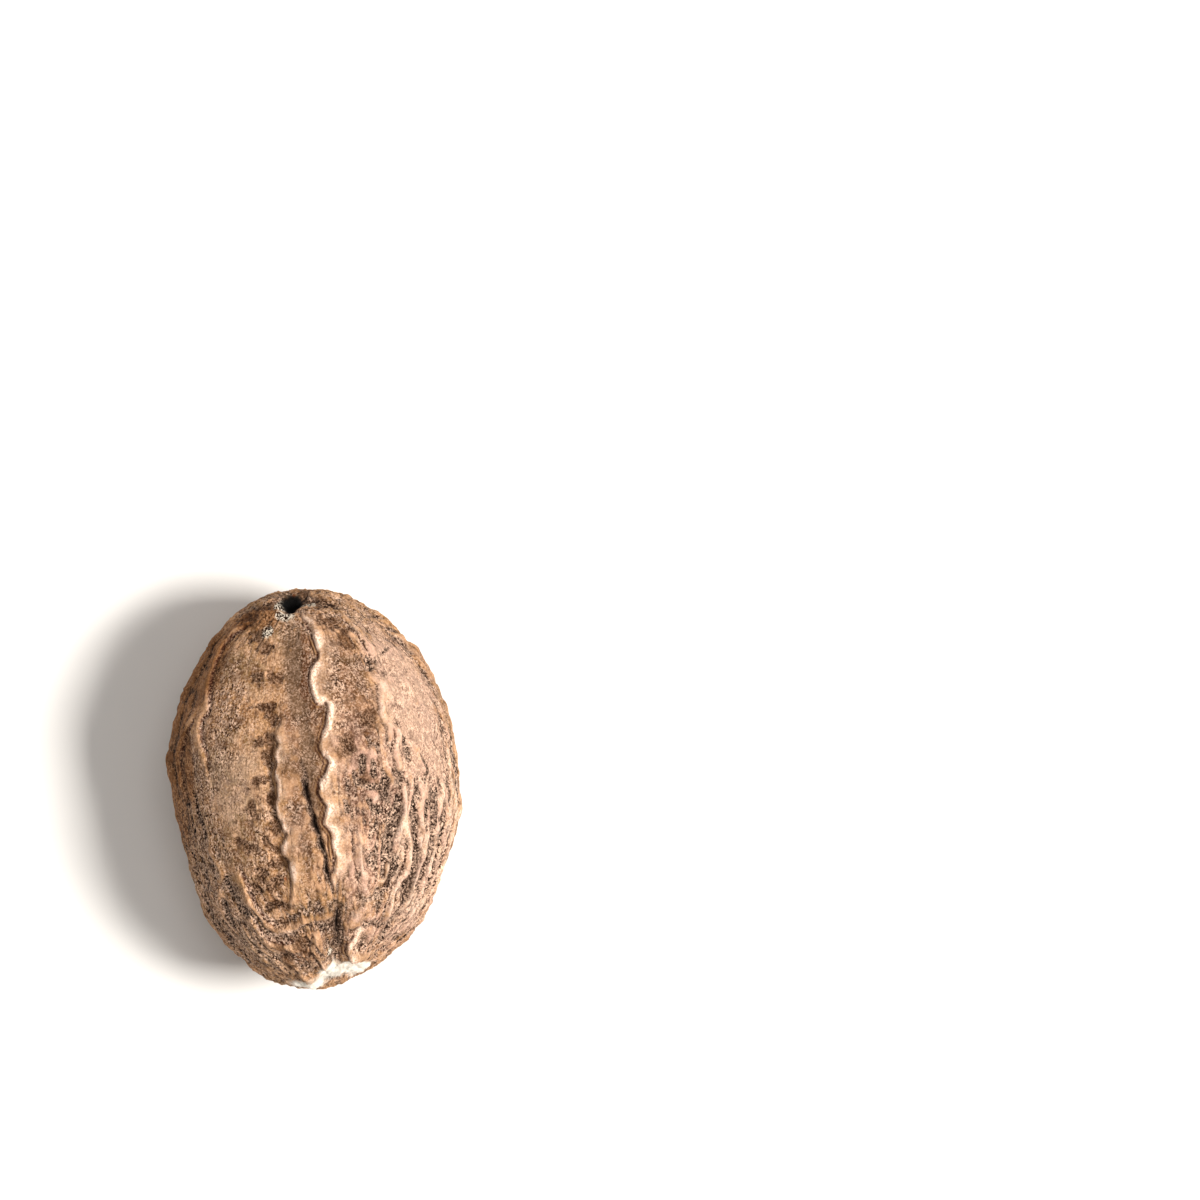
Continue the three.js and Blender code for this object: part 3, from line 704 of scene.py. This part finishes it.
def grain(points, size, seed):
    """Gradient noise, about -1 to 1, with features of the given size: each corner of a lattice has
    a slope of its own, and the slopes are blended across the cell by an eased share. The sum is
    small, so it is brought up by 1.6."""
    q = points / size
    cell = np.floor(q).astype(np.int64)
    f = q - cell
    ease = f * f * f * (f * (6 * f - 15) + 10)
    total = 0
    for corner in np.ndindex(2, 2, 2):
        slope = scrambled(*(cell[:, k] + corner[k] for k in range(3)), seed)
        share = np.prod([ease[:, k] if corner[k] else 1 - ease[:, k] for k in range(3)], axis=0)
        total = total + share * sum(slope[k] * (f[:, k] - corner[k]) for k in range(3))
    return 1.6 * total


def cloudy(points, size, seed, octaves=4, keep=0.5):
    """Several layers of grain, each half the size of the one before and weaker by keep."""
    layers = [keep**k * grain(points, size / 2**k, seed + k) for k in range(octaves)]
    return sum(layers) / sum(keep**k for k in range(octaves))


def waver(points, size, reach, seed):
    """Points pushed about by up to reach, smoothly over distances of size."""
    return points + reach * np.stack([grain(points, size, seed + k) for k in range(3)], -1)


def veins(noise, width):
    """1 along the zero lines of a noise, falling evenly to 0 where it reaches width."""
    return np.clip(1 - np.abs(noise) / width, 0, 1)


def gathered(points):
    """Coordinates for what runs lengthwise: each point is brought to a cylinder of the nutmeg's
    width, and a little shortened, so that grain laid there draws in towards the chalaza and the
    hilum like the real fibres."""
    share = np.clip(points[:, 1] / (LENGTH / 2), -1, 1)
    pole = np.where(share[:, None] > 0, on_ovoid(place(*CHALAZA_POLE)), on_ovoid(place(*HILUM_POLE)))
    off = points - pole * (np.abs(share) ** 3)[:, None]
    turn = np.arctan2(off[:, 0], off[:, 2])
    along = LENGTH / 2 * np.arcsin(share)
    return np.stack([WIDTH / 2 * np.sin(turn), along / FIBRE_SHORTENED, WIDTH / 2 * np.cos(turn)], -1)


def fibrous(fibre):
    """Wrinkles that run with the fibres: a plain noise, with furrows along the zero lines of a
    second one and crests along those of a third. Also gives the furrows' mask."""
    bent = waver(fibre * [1, 0.42, 1], size=1.5, reach=0.45, seed=11)
    sway = cloudy(bent, size=1.3, seed=31, octaves=3)
    furrow = veins(cloudy(bent, size=1.5, seed=21, octaves=3), 0.2) ** 1.5
    crest = veins(cloudy(bent, size=0.95, seed=26, octaves=3), 0.4) ** 1.5
    return SWAY_HIGH * sway - FURROW_DEEP * furrow + CREST_HIGH * crest, furrow


def wrinkles(p, fibre, rough, pleated):
    """The fine relief: wrinkles with the fibres where it is rough and away from both ends, lumps and
    pebbles of noise, lumps with cracks between them at the ends, and pleats along the zero lines of
    a noise where it is pleated. Also gives the furrows' and the pleats' masks."""
    ends = smoothstep(0.72, 0.93, np.abs(p[:, 1]) / (LENGTH / 2))
    stringy = rough * (1 - 0.85 * ends)
    height, furrow = fibrous(fibre)
    lumps = cloudy(waver(p, size=0.8, reach=0.3, seed=36), size=1.1, seed=41, keep=0.62)
    veined = cloudy(waver(p, size=0.9, reach=0.3, seed=46), size=0.9, seed=56, octaves=3)
    cracked = veins(veined, 0.2)
    pebbles = cloudy(waver(p, size=0.5, reach=0.15, seed=66), size=0.5, seed=71, octaves=2)
    pulled = waver(fibre * [1, 0.3, 1], size=0.9, reach=0.28, seed=81)
    pleat = pleated * veins(cloudy(pulled, size=1.1, seed=86, octaves=2), 0.4)
    height = stringy * height + (LUMP_HIGH + ROUGH_LUMP_HIGH * rough) * lumps + PEBBLE_HIGH * pebbles
    height += ends * (END_LUMP_HIGH * lumps - END_CRACK_DEEP * cracked)
    height += PLEAT_HIGH * pleat - PLEAT_FLOOR * pleated
    return height, furrow * stringy + 0.7 * ends * cracked, pleat


# -------- the masks


def blurred(grid, rounds):
    """A grid of rows and closed columns, each value averaged with its neighbours some times over."""
    for _ in range(rounds):
        grid = (grid + np.roll(grid, 1, 1) + np.roll(grid, -1, 1)) / 3
        ends = np.vstack([grid[:1], grid, grid[-1:]])
        grid = (ends[:-2] + ends[1:-1] + ends[2:]) / 3
    return grid


def curvature(height, rough):
    """Masks of what stands out and what lies low: the height less its own blur, over a full crest.
    Crests and hollows are broad, and ridges and grooves are sharp and weaker where it is smooth."""
    grid = height[:-2].reshape(ROWS - 1, COLUMNS)
    fine = (grid - blurred(grid, 12)) / FINE_CREST
    broad = (blurred(grid, 6) - blurred(grid, 80)) / BROAD_CREST
    sharp = (grid - blurred(grid, 3)) / SHARP_CREST
    curve, sharp = (np.append(values.ravel(), [0, 0]) for values in (fine + broad, sharp))
    sharp = sharp * (0.25 + 0.75 * rough)
    return {
        "crest": np.clip(curve, 0, 1),
        "hollow": np.clip(-curve, 0, 1),
        "ridge": np.clip(sharp, 0, 1),
        "groove": np.clip(-sharp, 0, 1),
    }


def grit(masks, gritty, crumbly):
    """How grainy it looks: most in the gritty places and the hollows, least on edges and crests."""
    grainy = 0.5 + 0.5 * gritty + 0.3 * masks["hollow"] + 0.4 * masks["groove_shade"]
    grainy = np.clip(grainy, 0, 1) + 0.3 * crumbly
    for name, loss in CLEAN.items():
        grainy = grainy * (1 - loss * masks[name])
    return grainy


def coloured(p, bent, n, masks):
    """Adds the masks of the differently coloured places, and softens what they cover."""
    ragged = cloudy(p, size=0.9, seed=51)
    masks["gutter"] = lined(p, n, GUTTER)
    masks["crack"] = lined(bent, n, CRACK, CRACK_WIDTH)
    for name, table, share in COLOURED:
        masks[name] = patches(p, table, share * ragged)
    masks["hollow"] *= 1 - 0.9 * masks["scarp"]
    for name in ("hollow", "groove", "furrow"):
        masks[name] *= 1 - 0.75 * masks["gutter"]
    for name in ("crest", "ridge"):
        masks[name] *= 1 - 0.9 * masks["warm"]
    masks["grit"] = grit(masks, patches(p, GRIT, 1.5 * ragged), patches(p, CRUMBLY, 1.2 * ragged))


# -------- the shell


def shell_points():
    """Directions of the shell's vertices: rows from the chalaza end to the hilum end, then the two
    poles, with the turns of each row crowded towards the top by a sine."""
    turn = np.arange(COLUMNS) / COLUMNS * 2 * math.pi - math.pi
    turn = turn - CROWDING * np.sin(turn)
    tilt = np.arange(1, ROWS) / ROWS * math.pi
    grid = direction(turn[None, :] + 0 * tilt[:, None], np.cos(tilt)[:, None] + 0 * turn)
    return np.vstack([grid.reshape(-1, 3), [[0, 1, 0], [0, -1, 0]]])


def shell_faces():
    """Quads between neighbouring rows and triangles to the poles, as (corner indices, face sizes)."""
    rows = ROWS - 1
    index = np.arange(rows * COLUMNS).reshape(rows, COLUMNS)
    after = np.roll(index, -1, 1)
    quads = np.stack([index[:-1], index[1:], after[1:], after[:-1]], -1).reshape(-1, 4)
    first = np.stack([after[0] * 0 + rows * COLUMNS, index[0], after[0]], -1)
    last = np.stack([after[-1] * 0 + rows * COLUMNS + 1, after[-1], index[-1]], -1)
    corners = np.concatenate([quads.ravel(), first.ravel(), last.ravel()])
    sizes = np.concatenate([np.full(len(quads), 4), np.full(2 * COLUMNS, 3)])
    return corners, sizes


def fitted(p):
    """The points stretched to the solid's box, with the flat spot at the bottom pressed level."""
    low, high = p.min(0), p.max(0)
    low[2] += REST_DEPTH
    p = LOW + (p - low) * (HIGH - LOW) / (high - low)
    p[:, 2] = np.maximum(p[:, 2], LOW[2])
    return p


def shell():
    """The nutmeg's points, masks and fibre coordinates. Each vertex moves along the ovoid's normal
    by the sum of all the reliefs, which are laid out in slightly wavering coordinates; then the
    whole is fitted to the solid's box, with its flat spot on the ground."""
    p = on_ovoid(shell_points())
    n = outward(p)
    bent = p
    for size, reach, seed in WAVERS:
        bent = waver(bent, size, reach, seed)
    fibre = gathered(p)
    rough = 1 - 0.85 * smoothstep(0.2, 0.7, spotted(p, SMOOTH))
    pleated = patches(p, PLEATED, 0)

    height, masks = folded(p, bent, n)
    masks["stain"] = stained(p, bent)
    height += dented(bent, masks["stain"]) + swollen(p) + scarred(bent)
    creased, masks["furrow"], masks["pleat"] = wrinkles(p, fibre, rough, pleated)
    height += creased

    # Painted shade between the pleats.
    between_pleats = pleated * smoothstep(0.3, 0, masks["pleat"])
    masks["groove_shade"] = np.maximum(masks["groove_shade"], 0.7 * between_pleats)
    frayed = 0.6 * cloudy(p, size=0.5, seed=97, octaves=3) * (masks["brow"] > 0.1)
    masks["brow"] = np.clip(masks["brow"] + frayed, 0, 1)
    masks |= curvature(height, rough)
    coloured(p, bent, n, masks)
    return fitted(p + n * height[:, None]), masks, fibre


def mesh_object(name, points, corners, sizes, masks, fibre):
    """A smooth-shaded mesh of the given points, faces, masks and fibre coordinates, in metres."""
    mesh = bpy.data.meshes.new(name)
    mesh.vertices.add(len(points))
    mesh.vertices.foreach_set("co", (points * MM).ravel())
    mesh.loops.add(len(corners))
    mesh.loops.foreach_set("vertex_index", corners)
    mesh.polygons.add(len(sizes))
    mesh.polygons.foreach_set("loop_start", np.cumsum(sizes) - sizes)
    mesh.update(calc_edges=True)
    mesh.validate()
    mesh.shade_smooth()
    for mask, values in masks.items():
        mesh.attributes.new(mask, "FLOAT", "POINT").data.foreach_set("value", values)
    mesh.attributes.new("fibre", "FLOAT_VECTOR", "POINT").data.foreach_set("vector", fibre.ravel())
    made = bpy.data.objects.new(name, mesh)
    bpy.context.scene.collection.objects.link(made)
    return made


# -------- the finish


def colour(hexa):
    """An sRGB colour written as six hexadecimal digits, as linear red, green, blue and alpha."""
    parts = [int(hexa[i : i + 2], 16) / 255 for i in (0, 2, 4)]
    return tuple(c / 12.92 if c < 0.04045 else ((c + 0.055) / 1.055) ** 2.4 for c in parts) + (1,)


OLIVE = colour("947148")
TAN = colour("bc8c5e")
MAUVE = colour("96725f")
OCHRE = colour("986638")
PEACH = colour("d4a57e")
BROWN = colour("684226")
PINK = colour("e0b29a")
PALE = colour("ffe4cc")
FLANK = colour("8f6a49")
GREY = colour("674d37")
UMBER = colour("5c3314")
SCARP = colour("a87e54")
FOOT_STAIN_AND_SHADE = colour("4a210e")
STAIN = colour("54361c")
DARK = colour("2b1407")
CRACK_SHADOW = colour("140a05")
CHAFF = colour("f2ccb0")
ASH = colour("e4d6c2")
CREAM = colour("fff6e8")
EMBER_RED = colour("94522a")
BLACK = colour("040302")

# What the colour is multiplied by in dusky places, warm ones (painted shade on the left flank),
# stains, and hollows and grain (painted shade in the hollows and grooves).
SHADE = colour("aca09a")
WARMTH = colour("e8d4ba")
STAINING = colour("b89a70")
DEPTH = colour("6e5a4c")


class Finish:
    """A material under construction: each method adds one node and returns its output socket."""

    def __init__(self, name):
        self.material = bpy.data.materials.new(name)
        self.material.use_nodes = True
        self.tree = self.material.node_tree
        self.surface = self.tree.nodes["Principled BSDF"]

    def join(self, socket, value):
        """Links a socket to another node's output, or gives it a plain value."""
        if isinstance(value, bpy.types.NodeSocket):
            self.tree.links.new(value, socket)
        else:
            socket.default_value = value

    def add(self, kind, output, inputs, **settings):
        """Adds a node of a kind, and returns one of its outputs."""
        node = self.tree.nodes.new(kind)
        for name, setting in settings.items():
            setattr(node, name, setting)
        for key, value in inputs.items():
            self.join(node.inputs[key], value)
        return node.outputs[output]

    def coordinates(self, stretch=(1, 1, 1)):
        """Object coordinates in millimetres, squeezed along each axis by stretch."""
        place = self.add("ShaderNodeTexCoord", "Object", {})
        inputs = {"Vector": place, "Scale": [s / MM for s in stretch]}
        return self.add("ShaderNodeMapping", "Vector", inputs)

    def stretched(self, place, stretch):
        """Coordinates squeezed along each axis by stretch."""
        return self.add("ShaderNodeVectorMath", 0, {0: place, 1: stretch}, operation="MULTIPLY")

    def mask(self, name, output="Fac"):
        """One of the mesh's masks."""
        return self.add("ShaderNodeAttribute", output, {}, attribute_name=name)

    def noise(self, place, scale, detail, roughness, distortion=0):
        """A cloudy noise, mostly from 0.3 to 0.7."""
        inputs = {"Vector": place, "Scale": scale, "Detail": detail, "Roughness": roughness}
        return self.add("ShaderNodeTexNoise", "Fac", inputs | {"Distortion": distortion})

    def cells(self, place, scale):
        """A random value for each of many small cells, about 0.5 with a spread of 0.17."""
        return self.add("ShaderNodeTexVoronoi", "Color", {"Vector": place, "Scale": scale})

    def ranged(self, value, low, high, to_low=0.0, to_high=1.0):
        """value, eased from low..high to to_low..to_high, and held at both ends."""
        inputs = {"Value": value, "From Min": low, "From Max": high, "To Min": to_low, "To Max": to_high}
        return self.add("ShaderNodeMapRange", "Result", inputs, interpolation_type="SMOOTHSTEP")

    def times(self, a, b):
        """The product of two values, held to 0..1."""
        return self.add("ShaderNodeMath", 0, {0: a, 1: b}, operation="MULTIPLY", use_clamp=True)

    def mix(self, share, a, b, blend="MIX"):
        """Colour a, with colour b blended over it by a share."""
        return self.add("ShaderNodeMix", 2, {0: share, 6: a, 7: b}, data_type="RGBA", blend_type=blend)

    def bump(self, height, depth, normal=None):
        """A normal, tilted by a height from 0 to 1 of the given depth in millimetres."""
        inputs = {"Height": height, "Distance": depth * MM}
        if normal is not None:
            inputs["Normal"] = normal
        return self.add("ShaderNodeBump", "Normal", inputs)


# Clouds of colour, in order: (noise, from, to, greatest share, colour).
CLOUDS = [
    ("hues", 0.47, 0.39, 0.6, OCHRE),
    ("patches", 0.5, 0.6, 0.6, PEACH),
    ("patches", 0.48, 0.38, 0.75, BROWN),
    ("mottle", 0.53, 0.66, 0.6, PEACH),
    ("mottle", 0.47, 0.35, 0.7, BROWN),
]

# Grain: (noise, where its dark side begins, how soon it is full, its darkest and palest shares).
GRAINS = [
    ("flecks", 0.5, 0.12, 0.5, 0.35),
    ("specks", 0.55, 0.12, 1, 0.7),
    ("crumbs", 0.63, 0.1, 0.5, 0.3),
]


class SeedCoat(Finish):
    """Dry seed coat: brown, tan, olive and mauve clouds, grained light and dark, with dark dots and
    dashes along the fibres, pale edges with wear and painted highlights, painted highlights on
    crests and painted shade in hollows, a grey gutter with a black crack of painted shade, a black
    pit and a cream scar. Each method lays a few coats of colour over those before it."""

    def __init__(self):
        super().__init__("seed_coat")
        even = self.coordinates()
        fibre = self.stretched(self.mask("fibre", "Vector"), (1, 0.28, 1))
        self.noises = {
            "clouds": self.noise(even, 0.3, 3, 0.6),
            "patches": self.noise(even, 0.7, 5, 0.62, 0.4),
            "hues": self.noise(self.coordinates((0.9, 0.7, 1.1)), 0.9, 4, 0.6, 0.4),
            "mottle": self.noise(even, 1.9, 5, 0.7, 0.5),
            "grains": self.noise(even, 4.2, 5, 0.8),
            "flecks": self.noise(even, 8.0, 2, 0.75),
            "specks": self.cells(even, 11),
            "crumbs": self.cells(even, 7),
            "dots": self.noise(self.coordinates((1.1, 0.9, 1)), 5.6, 1, 0.5),
            "dashes": self.noise(fibre, 4.2, 3, 0.6),
        }
        self.base = self.mix(self.noisy("clouds", 0.42, 0.58), OLIVE, TAN)
        for coats in (self.clouds, self.places, self.relief, self.edges, self.grain, self.ends):
            coats()
        self.join(self.surface.inputs["Base Color"], self.base)
        self.skin()

    def noisy(self, noise, low, high, to_low=0.0, to_high=1.0):
        """A share that rises as a noise passes from low to high."""
        return self.ranged(self.noises[noise], low, high, to_low, to_high)

    def marked(self, mask, low, high, to_low=0.0, to_high=1.0):
        """A share that rises as a mask passes from low to high."""
        return self.ranged(self.mask(mask), low, high, to_low, to_high)

    def coat(self, share, tint, blend="MIX"):
        """Blends a colour over all the coats so far."""
        self.base = self.mix(share, self.base, tint, blend)

    def clouds(self):
        """Clouds of mauve, more of it where it blushes, then of ochre, peach and brown."""
        blushing = self.marked("blush", 0, 0.6, 0.4, 0.9)
        self.coat(self.times(self.noisy("hues", 0.51, 0.6), blushing), MAUVE)
        for noise, low, high, most, tint in CLOUDS:
            self.coat(self.noisy(noise, low, high, 0, most), tint)

    def places(self):
        """The differently coloured places of the flanks, the shelf and the gutter. On the right flank
        some of the pink and pale is painted bounce light; on the left the warm brown is partly painted
        shade.
        """
        pinkish = self.mix(self.noisy("mottle", 0.4, 0.6), MAUVE, PINK)
        # Pink and pale: on the right flank, painted light bouncing on to it from the side.
        self.coat(self.times(self.mask("blush"), 0.75), pinkish)
        self.coat(self.times(self.mask("pale_side"), 0.16), PALE)
        self.coat(self.mask("dusk"), SHADE, "MULTIPLY")
        # Warm brown: on the left flank partly painted shade.
        self.coat(self.times(self.mask("warm"), 0.65), FLANK)
        self.coat(self.marked("gutter", 0.1, 0.7, 0, 0.85), GREY)
        # Umber: along the lip's foot, painted shade under the lip.
        self.coat(self.times(self.mask("umber"), 0.9), UMBER)

    def relief(self):
        """Painted highlights on crests, ridges and pleats, painted shade in hollows, grooves and furrows,
        and brown stains.
        """
        rosy = self.times(self.mask("blush"), self.noisy("hues", 0.44, 0.52))
        light = self.mix(rosy, self.mix(self.noisy("clouds", 0.44, 0.54), TAN, PEACH), PINK)
        lightest = self.mix(self.noisy("flecks", 0.4, 0.55), light, PALE)
        # Painted highlight on the crests.
        self.coat(self.marked("crest", 0.2, 1, 0, 0.4), light)
        # Painted shade in the hollows and the grooves.
        self.coat(self.marked("hollow", 0.1, 0.9, 0, 0.85), DEPTH, "MULTIPLY")
        self.coat(self.marked("groove", 0.1, 1, 0, 0.7), DEPTH, "MULTIPLY")
        # Painted highlight on the ridges and the pleats.
        self.coat(self.marked("ridge", 0.2, 1, 0, 0.4), light)
        self.coat(self.marked("pleat", 0.6, 1, 0, 0.7), lightest)
        # Painted shade in the furrows of the wrinkles.
        self.coat(self.marked("furrow", 0.3, 0.9, 0, 0.4), DARK)
        self.coat(self.marked("stain", 0.05, 0.8, 0, 0.65), STAIN)

    def edges(self):
        """The scarp; the brow, a painted highlight; the pale edge of each undercut, worn and with a
        painted highlight; its reddish foot, stain and painted shade; and painted shade in narrow
        grooves.
        """
        self.coat(self.times(self.mask("scarp"), 0.5), SCARP)
        # The brow: a painted highlight behind the edge.
        flecked = self.mix(self.noisy("flecks", 0.42, 0.56), TAN, PEACH)
        self.coat(self.times(self.mask("brow"), 0.6), flecked)
        # The pale edge: wear and a painted highlight on the rim.
        wear_and_highlight = self.times(self.marked("edge", 0, 0.85), self.noisy("flecks", 0.36, 0.5, 0.45))
        self.coat(wear_and_highlight, self.mix(self.noisy("flecks", 0.4, 0.56, 0.1), PINK, PALE))
        # The foot: stain and painted shade under the edge.
        self.coat(self.marked("foot", 0.2, 0.7, 0, 0.9), FOOT_STAIN_AND_SHADE)
        # Painted shade in narrow grooves and between the pleats.
        self.coat(self.times(self.marked("groove_shade", 0.15, 0.5), self.noisy("grains", 0.38, 0.5, 0.5)), DARK)

    def grain(self):
        """Grain, dark where a noise is high and pale where it is as low, then dots and dashes. Then
        the crack's painted shade, and the tints of the warm places, partly painted shade, and of the
        stains, which cover the grain too."""
        grit = self.times(self.mask("grit"), self.noisy("mottle", 0.4, 0.56, 0.4))
        for noise, start, reach, dark, pale in GRAINS:
            darkened = self.noisy(noise, start, start + reach, 0, dark)
            lightened = self.noisy(noise, 1 - start, 1 - start - reach, 0, pale)
            self.coat(self.times(grit, darkened), DEPTH, "MULTIPLY")
            self.coat(self.times(grit, lightened), CHAFF)
        self.coat(self.times(grit, self.noisy("dots", 0.66, 0.71, 0, 0.6)), DARK)
        unblushed = self.marked("blush", 0, 0.5, 1, 0.2)
        dashed = self.times(unblushed, self.noisy("dashes", 0.6, 0.7, 0, 0.6))
        self.coat(self.times(dashed, self.marked("gutter", 0, 0.3, 1, 0)), DARK)
        # Painted shade in the crack.
        self.coat(self.marked("crack", 0.25, 0.7, 0, 0.95), CRACK_SHADOW)
        # Darker and warmer: on the left flank painted shade.
        self.coat(self.mask("warm"), WARMTH, "MULTIPLY")
        self.coat(self.times(self.mask("stain"), 0.5), STAINING, "MULTIPLY")

    def ends(self):
        """The ashen crust beside the pit, the flaky cream scar, the ember spots and the black pit, which
        is its dark core and the shade on its walls, painted.
        """
        self.coat(self.mask("crust"), self.mix(self.noisy("specks", 0.42, 0.54), ASH, DARK))
        self.coat(self.mask("cream"), self.mix(self.noisy("mottle", 0.54, 0.66, 0, 0.25), CREAM, TAN))
        self.coat(self.mask("ember"), EMBER_RED)
        # The pit's black: its dark core and painted shade on its walls.
        self.coat(self.mask("pit"), BLACK)

    def skin(self):
        """A dry, matt skin, uneven at four sizes."""
        self.join(self.surface.inputs["Roughness"], self.noisy("mottle", 0.3, 0.7, 0.6, 0.85))
        self.surface.inputs["Specular IOR Level"].default_value = 0.1
        normal = self.bump(self.noises["mottle"], 0.2)
        for noise, depth in (("dashes", -0.08), ("grains", -0.045), ("flecks", -0.015)):
            normal = self.bump(self.noises[noise], depth, normal)
        self.join(self.surface.inputs["Normal"], normal)


def pale_paper():
    """Plain matt paper for the floor."""
    f = Finish("pale_paper")
    f.surface.inputs["Base Color"].default_value = colour("e6e4e1")
    f.surface.inputs["Roughness"].default_value = 0.9
    return f.material


# -------- the studio

TILT = math.radians(3.07)  # the nutmeg's long axis leans this much to the left of upright
FRAME_SIDE = 77.6  # how much the whole frame takes in at the nutmeg's middle
FRAME_CENTRE = (19.09, 11.16)  # the frame's centre, from the nutmeg's middle
CAMERA_HEIGHT = 620
SENSOR = 36
CLIP = (0.01, 10)  # the nearest and the farthest that the camera sees, in metres

# Square soft lights: (name, side, place, power, tint).
LIGHTS = [
    ("key_light", 150, (330, -30, 500), 5.6, (1, 0.97, 0.93)),
    ("top_light", 260, (20, 120, 620), 0.8, (1, 0.99, 0.98)),
]
SKY_TINT, SKY_STRENGTH = (1, 0.96, 0.92, 1), 0.33
FLOOR_SIDE = 3000


def camera():
    """A long lens that looks straight down."""
    data = bpy.data.cameras.new("camera")
    data.sensor_width = SENSOR
    data.lens = SENSOR * (CAMERA_HEIGHT - HEIGHT / 2) / FRAME_SIDE
    data.clip_start, data.clip_end = CLIP
    made = bpy.data.objects.new("camera", data)
    made.location = Vector((*FRAME_CENTRE, CAMERA_HEIGHT)) * MM
    made.rotation_euler = (0, 0, -TILT)
    bpy.context.scene.collection.objects.link(made)
    bpy.context.scene.camera = made


def soft_light(name, side, position, power, tint):
    """A square soft light of the given side, aimed at the nutmeg's middle."""
    data = bpy.data.lights.new(name, "AREA")
    data.size = side * MM
    data.energy = power
    data.color = tint
    made = bpy.data.objects.new(name, data)
    made.location = Vector(position) * MM
    aim = Vector((0, 0, HEIGHT / 2)) * MM - made.location
    made.rotation_euler = aim.to_track_quat("-Z", "Y").to_euler()
    bpy.context.scene.collection.objects.link(made)


def floor():
    """A pale square floor."""
    half = FLOOR_SIDE / 2 * MM
    corners = [(-half, -half, 0), (half, -half, 0), (half, half, 0), (-half, half, 0)]
    mesh = bpy.data.meshes.new("floor")
    mesh.from_pydata(corners, [], [(0, 1, 2, 3)])
    made = bpy.data.objects.new("floor", mesh)
    made.data.materials.append(pale_paper())
    bpy.context.scene.collection.objects.link(made)


def sky():
    """An even, slightly warm light from all round."""
    world = bpy.data.worlds.new("sky")
    world.use_nodes = True
    world.node_tree.nodes["Background"].inputs["Color"].default_value = SKY_TINT
    world.node_tree.nodes["Background"].inputs["Strength"].default_value = SKY_STRENGTH
    bpy.context.scene.world = world


camera()
floor()
for light in LIGHTS:
    soft_light(*light)
sky()
bpy.context.scene.view_settings.view_transform = "Standard"

points, masks, fibre = shell()
nutmeg = mesh_object("nutmeg_shell", points, *shell_faces(), masks, fibre)
nutmeg.data.materials.append(SeedCoat().material)
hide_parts("nutmeg")
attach(nutmeg, "root")
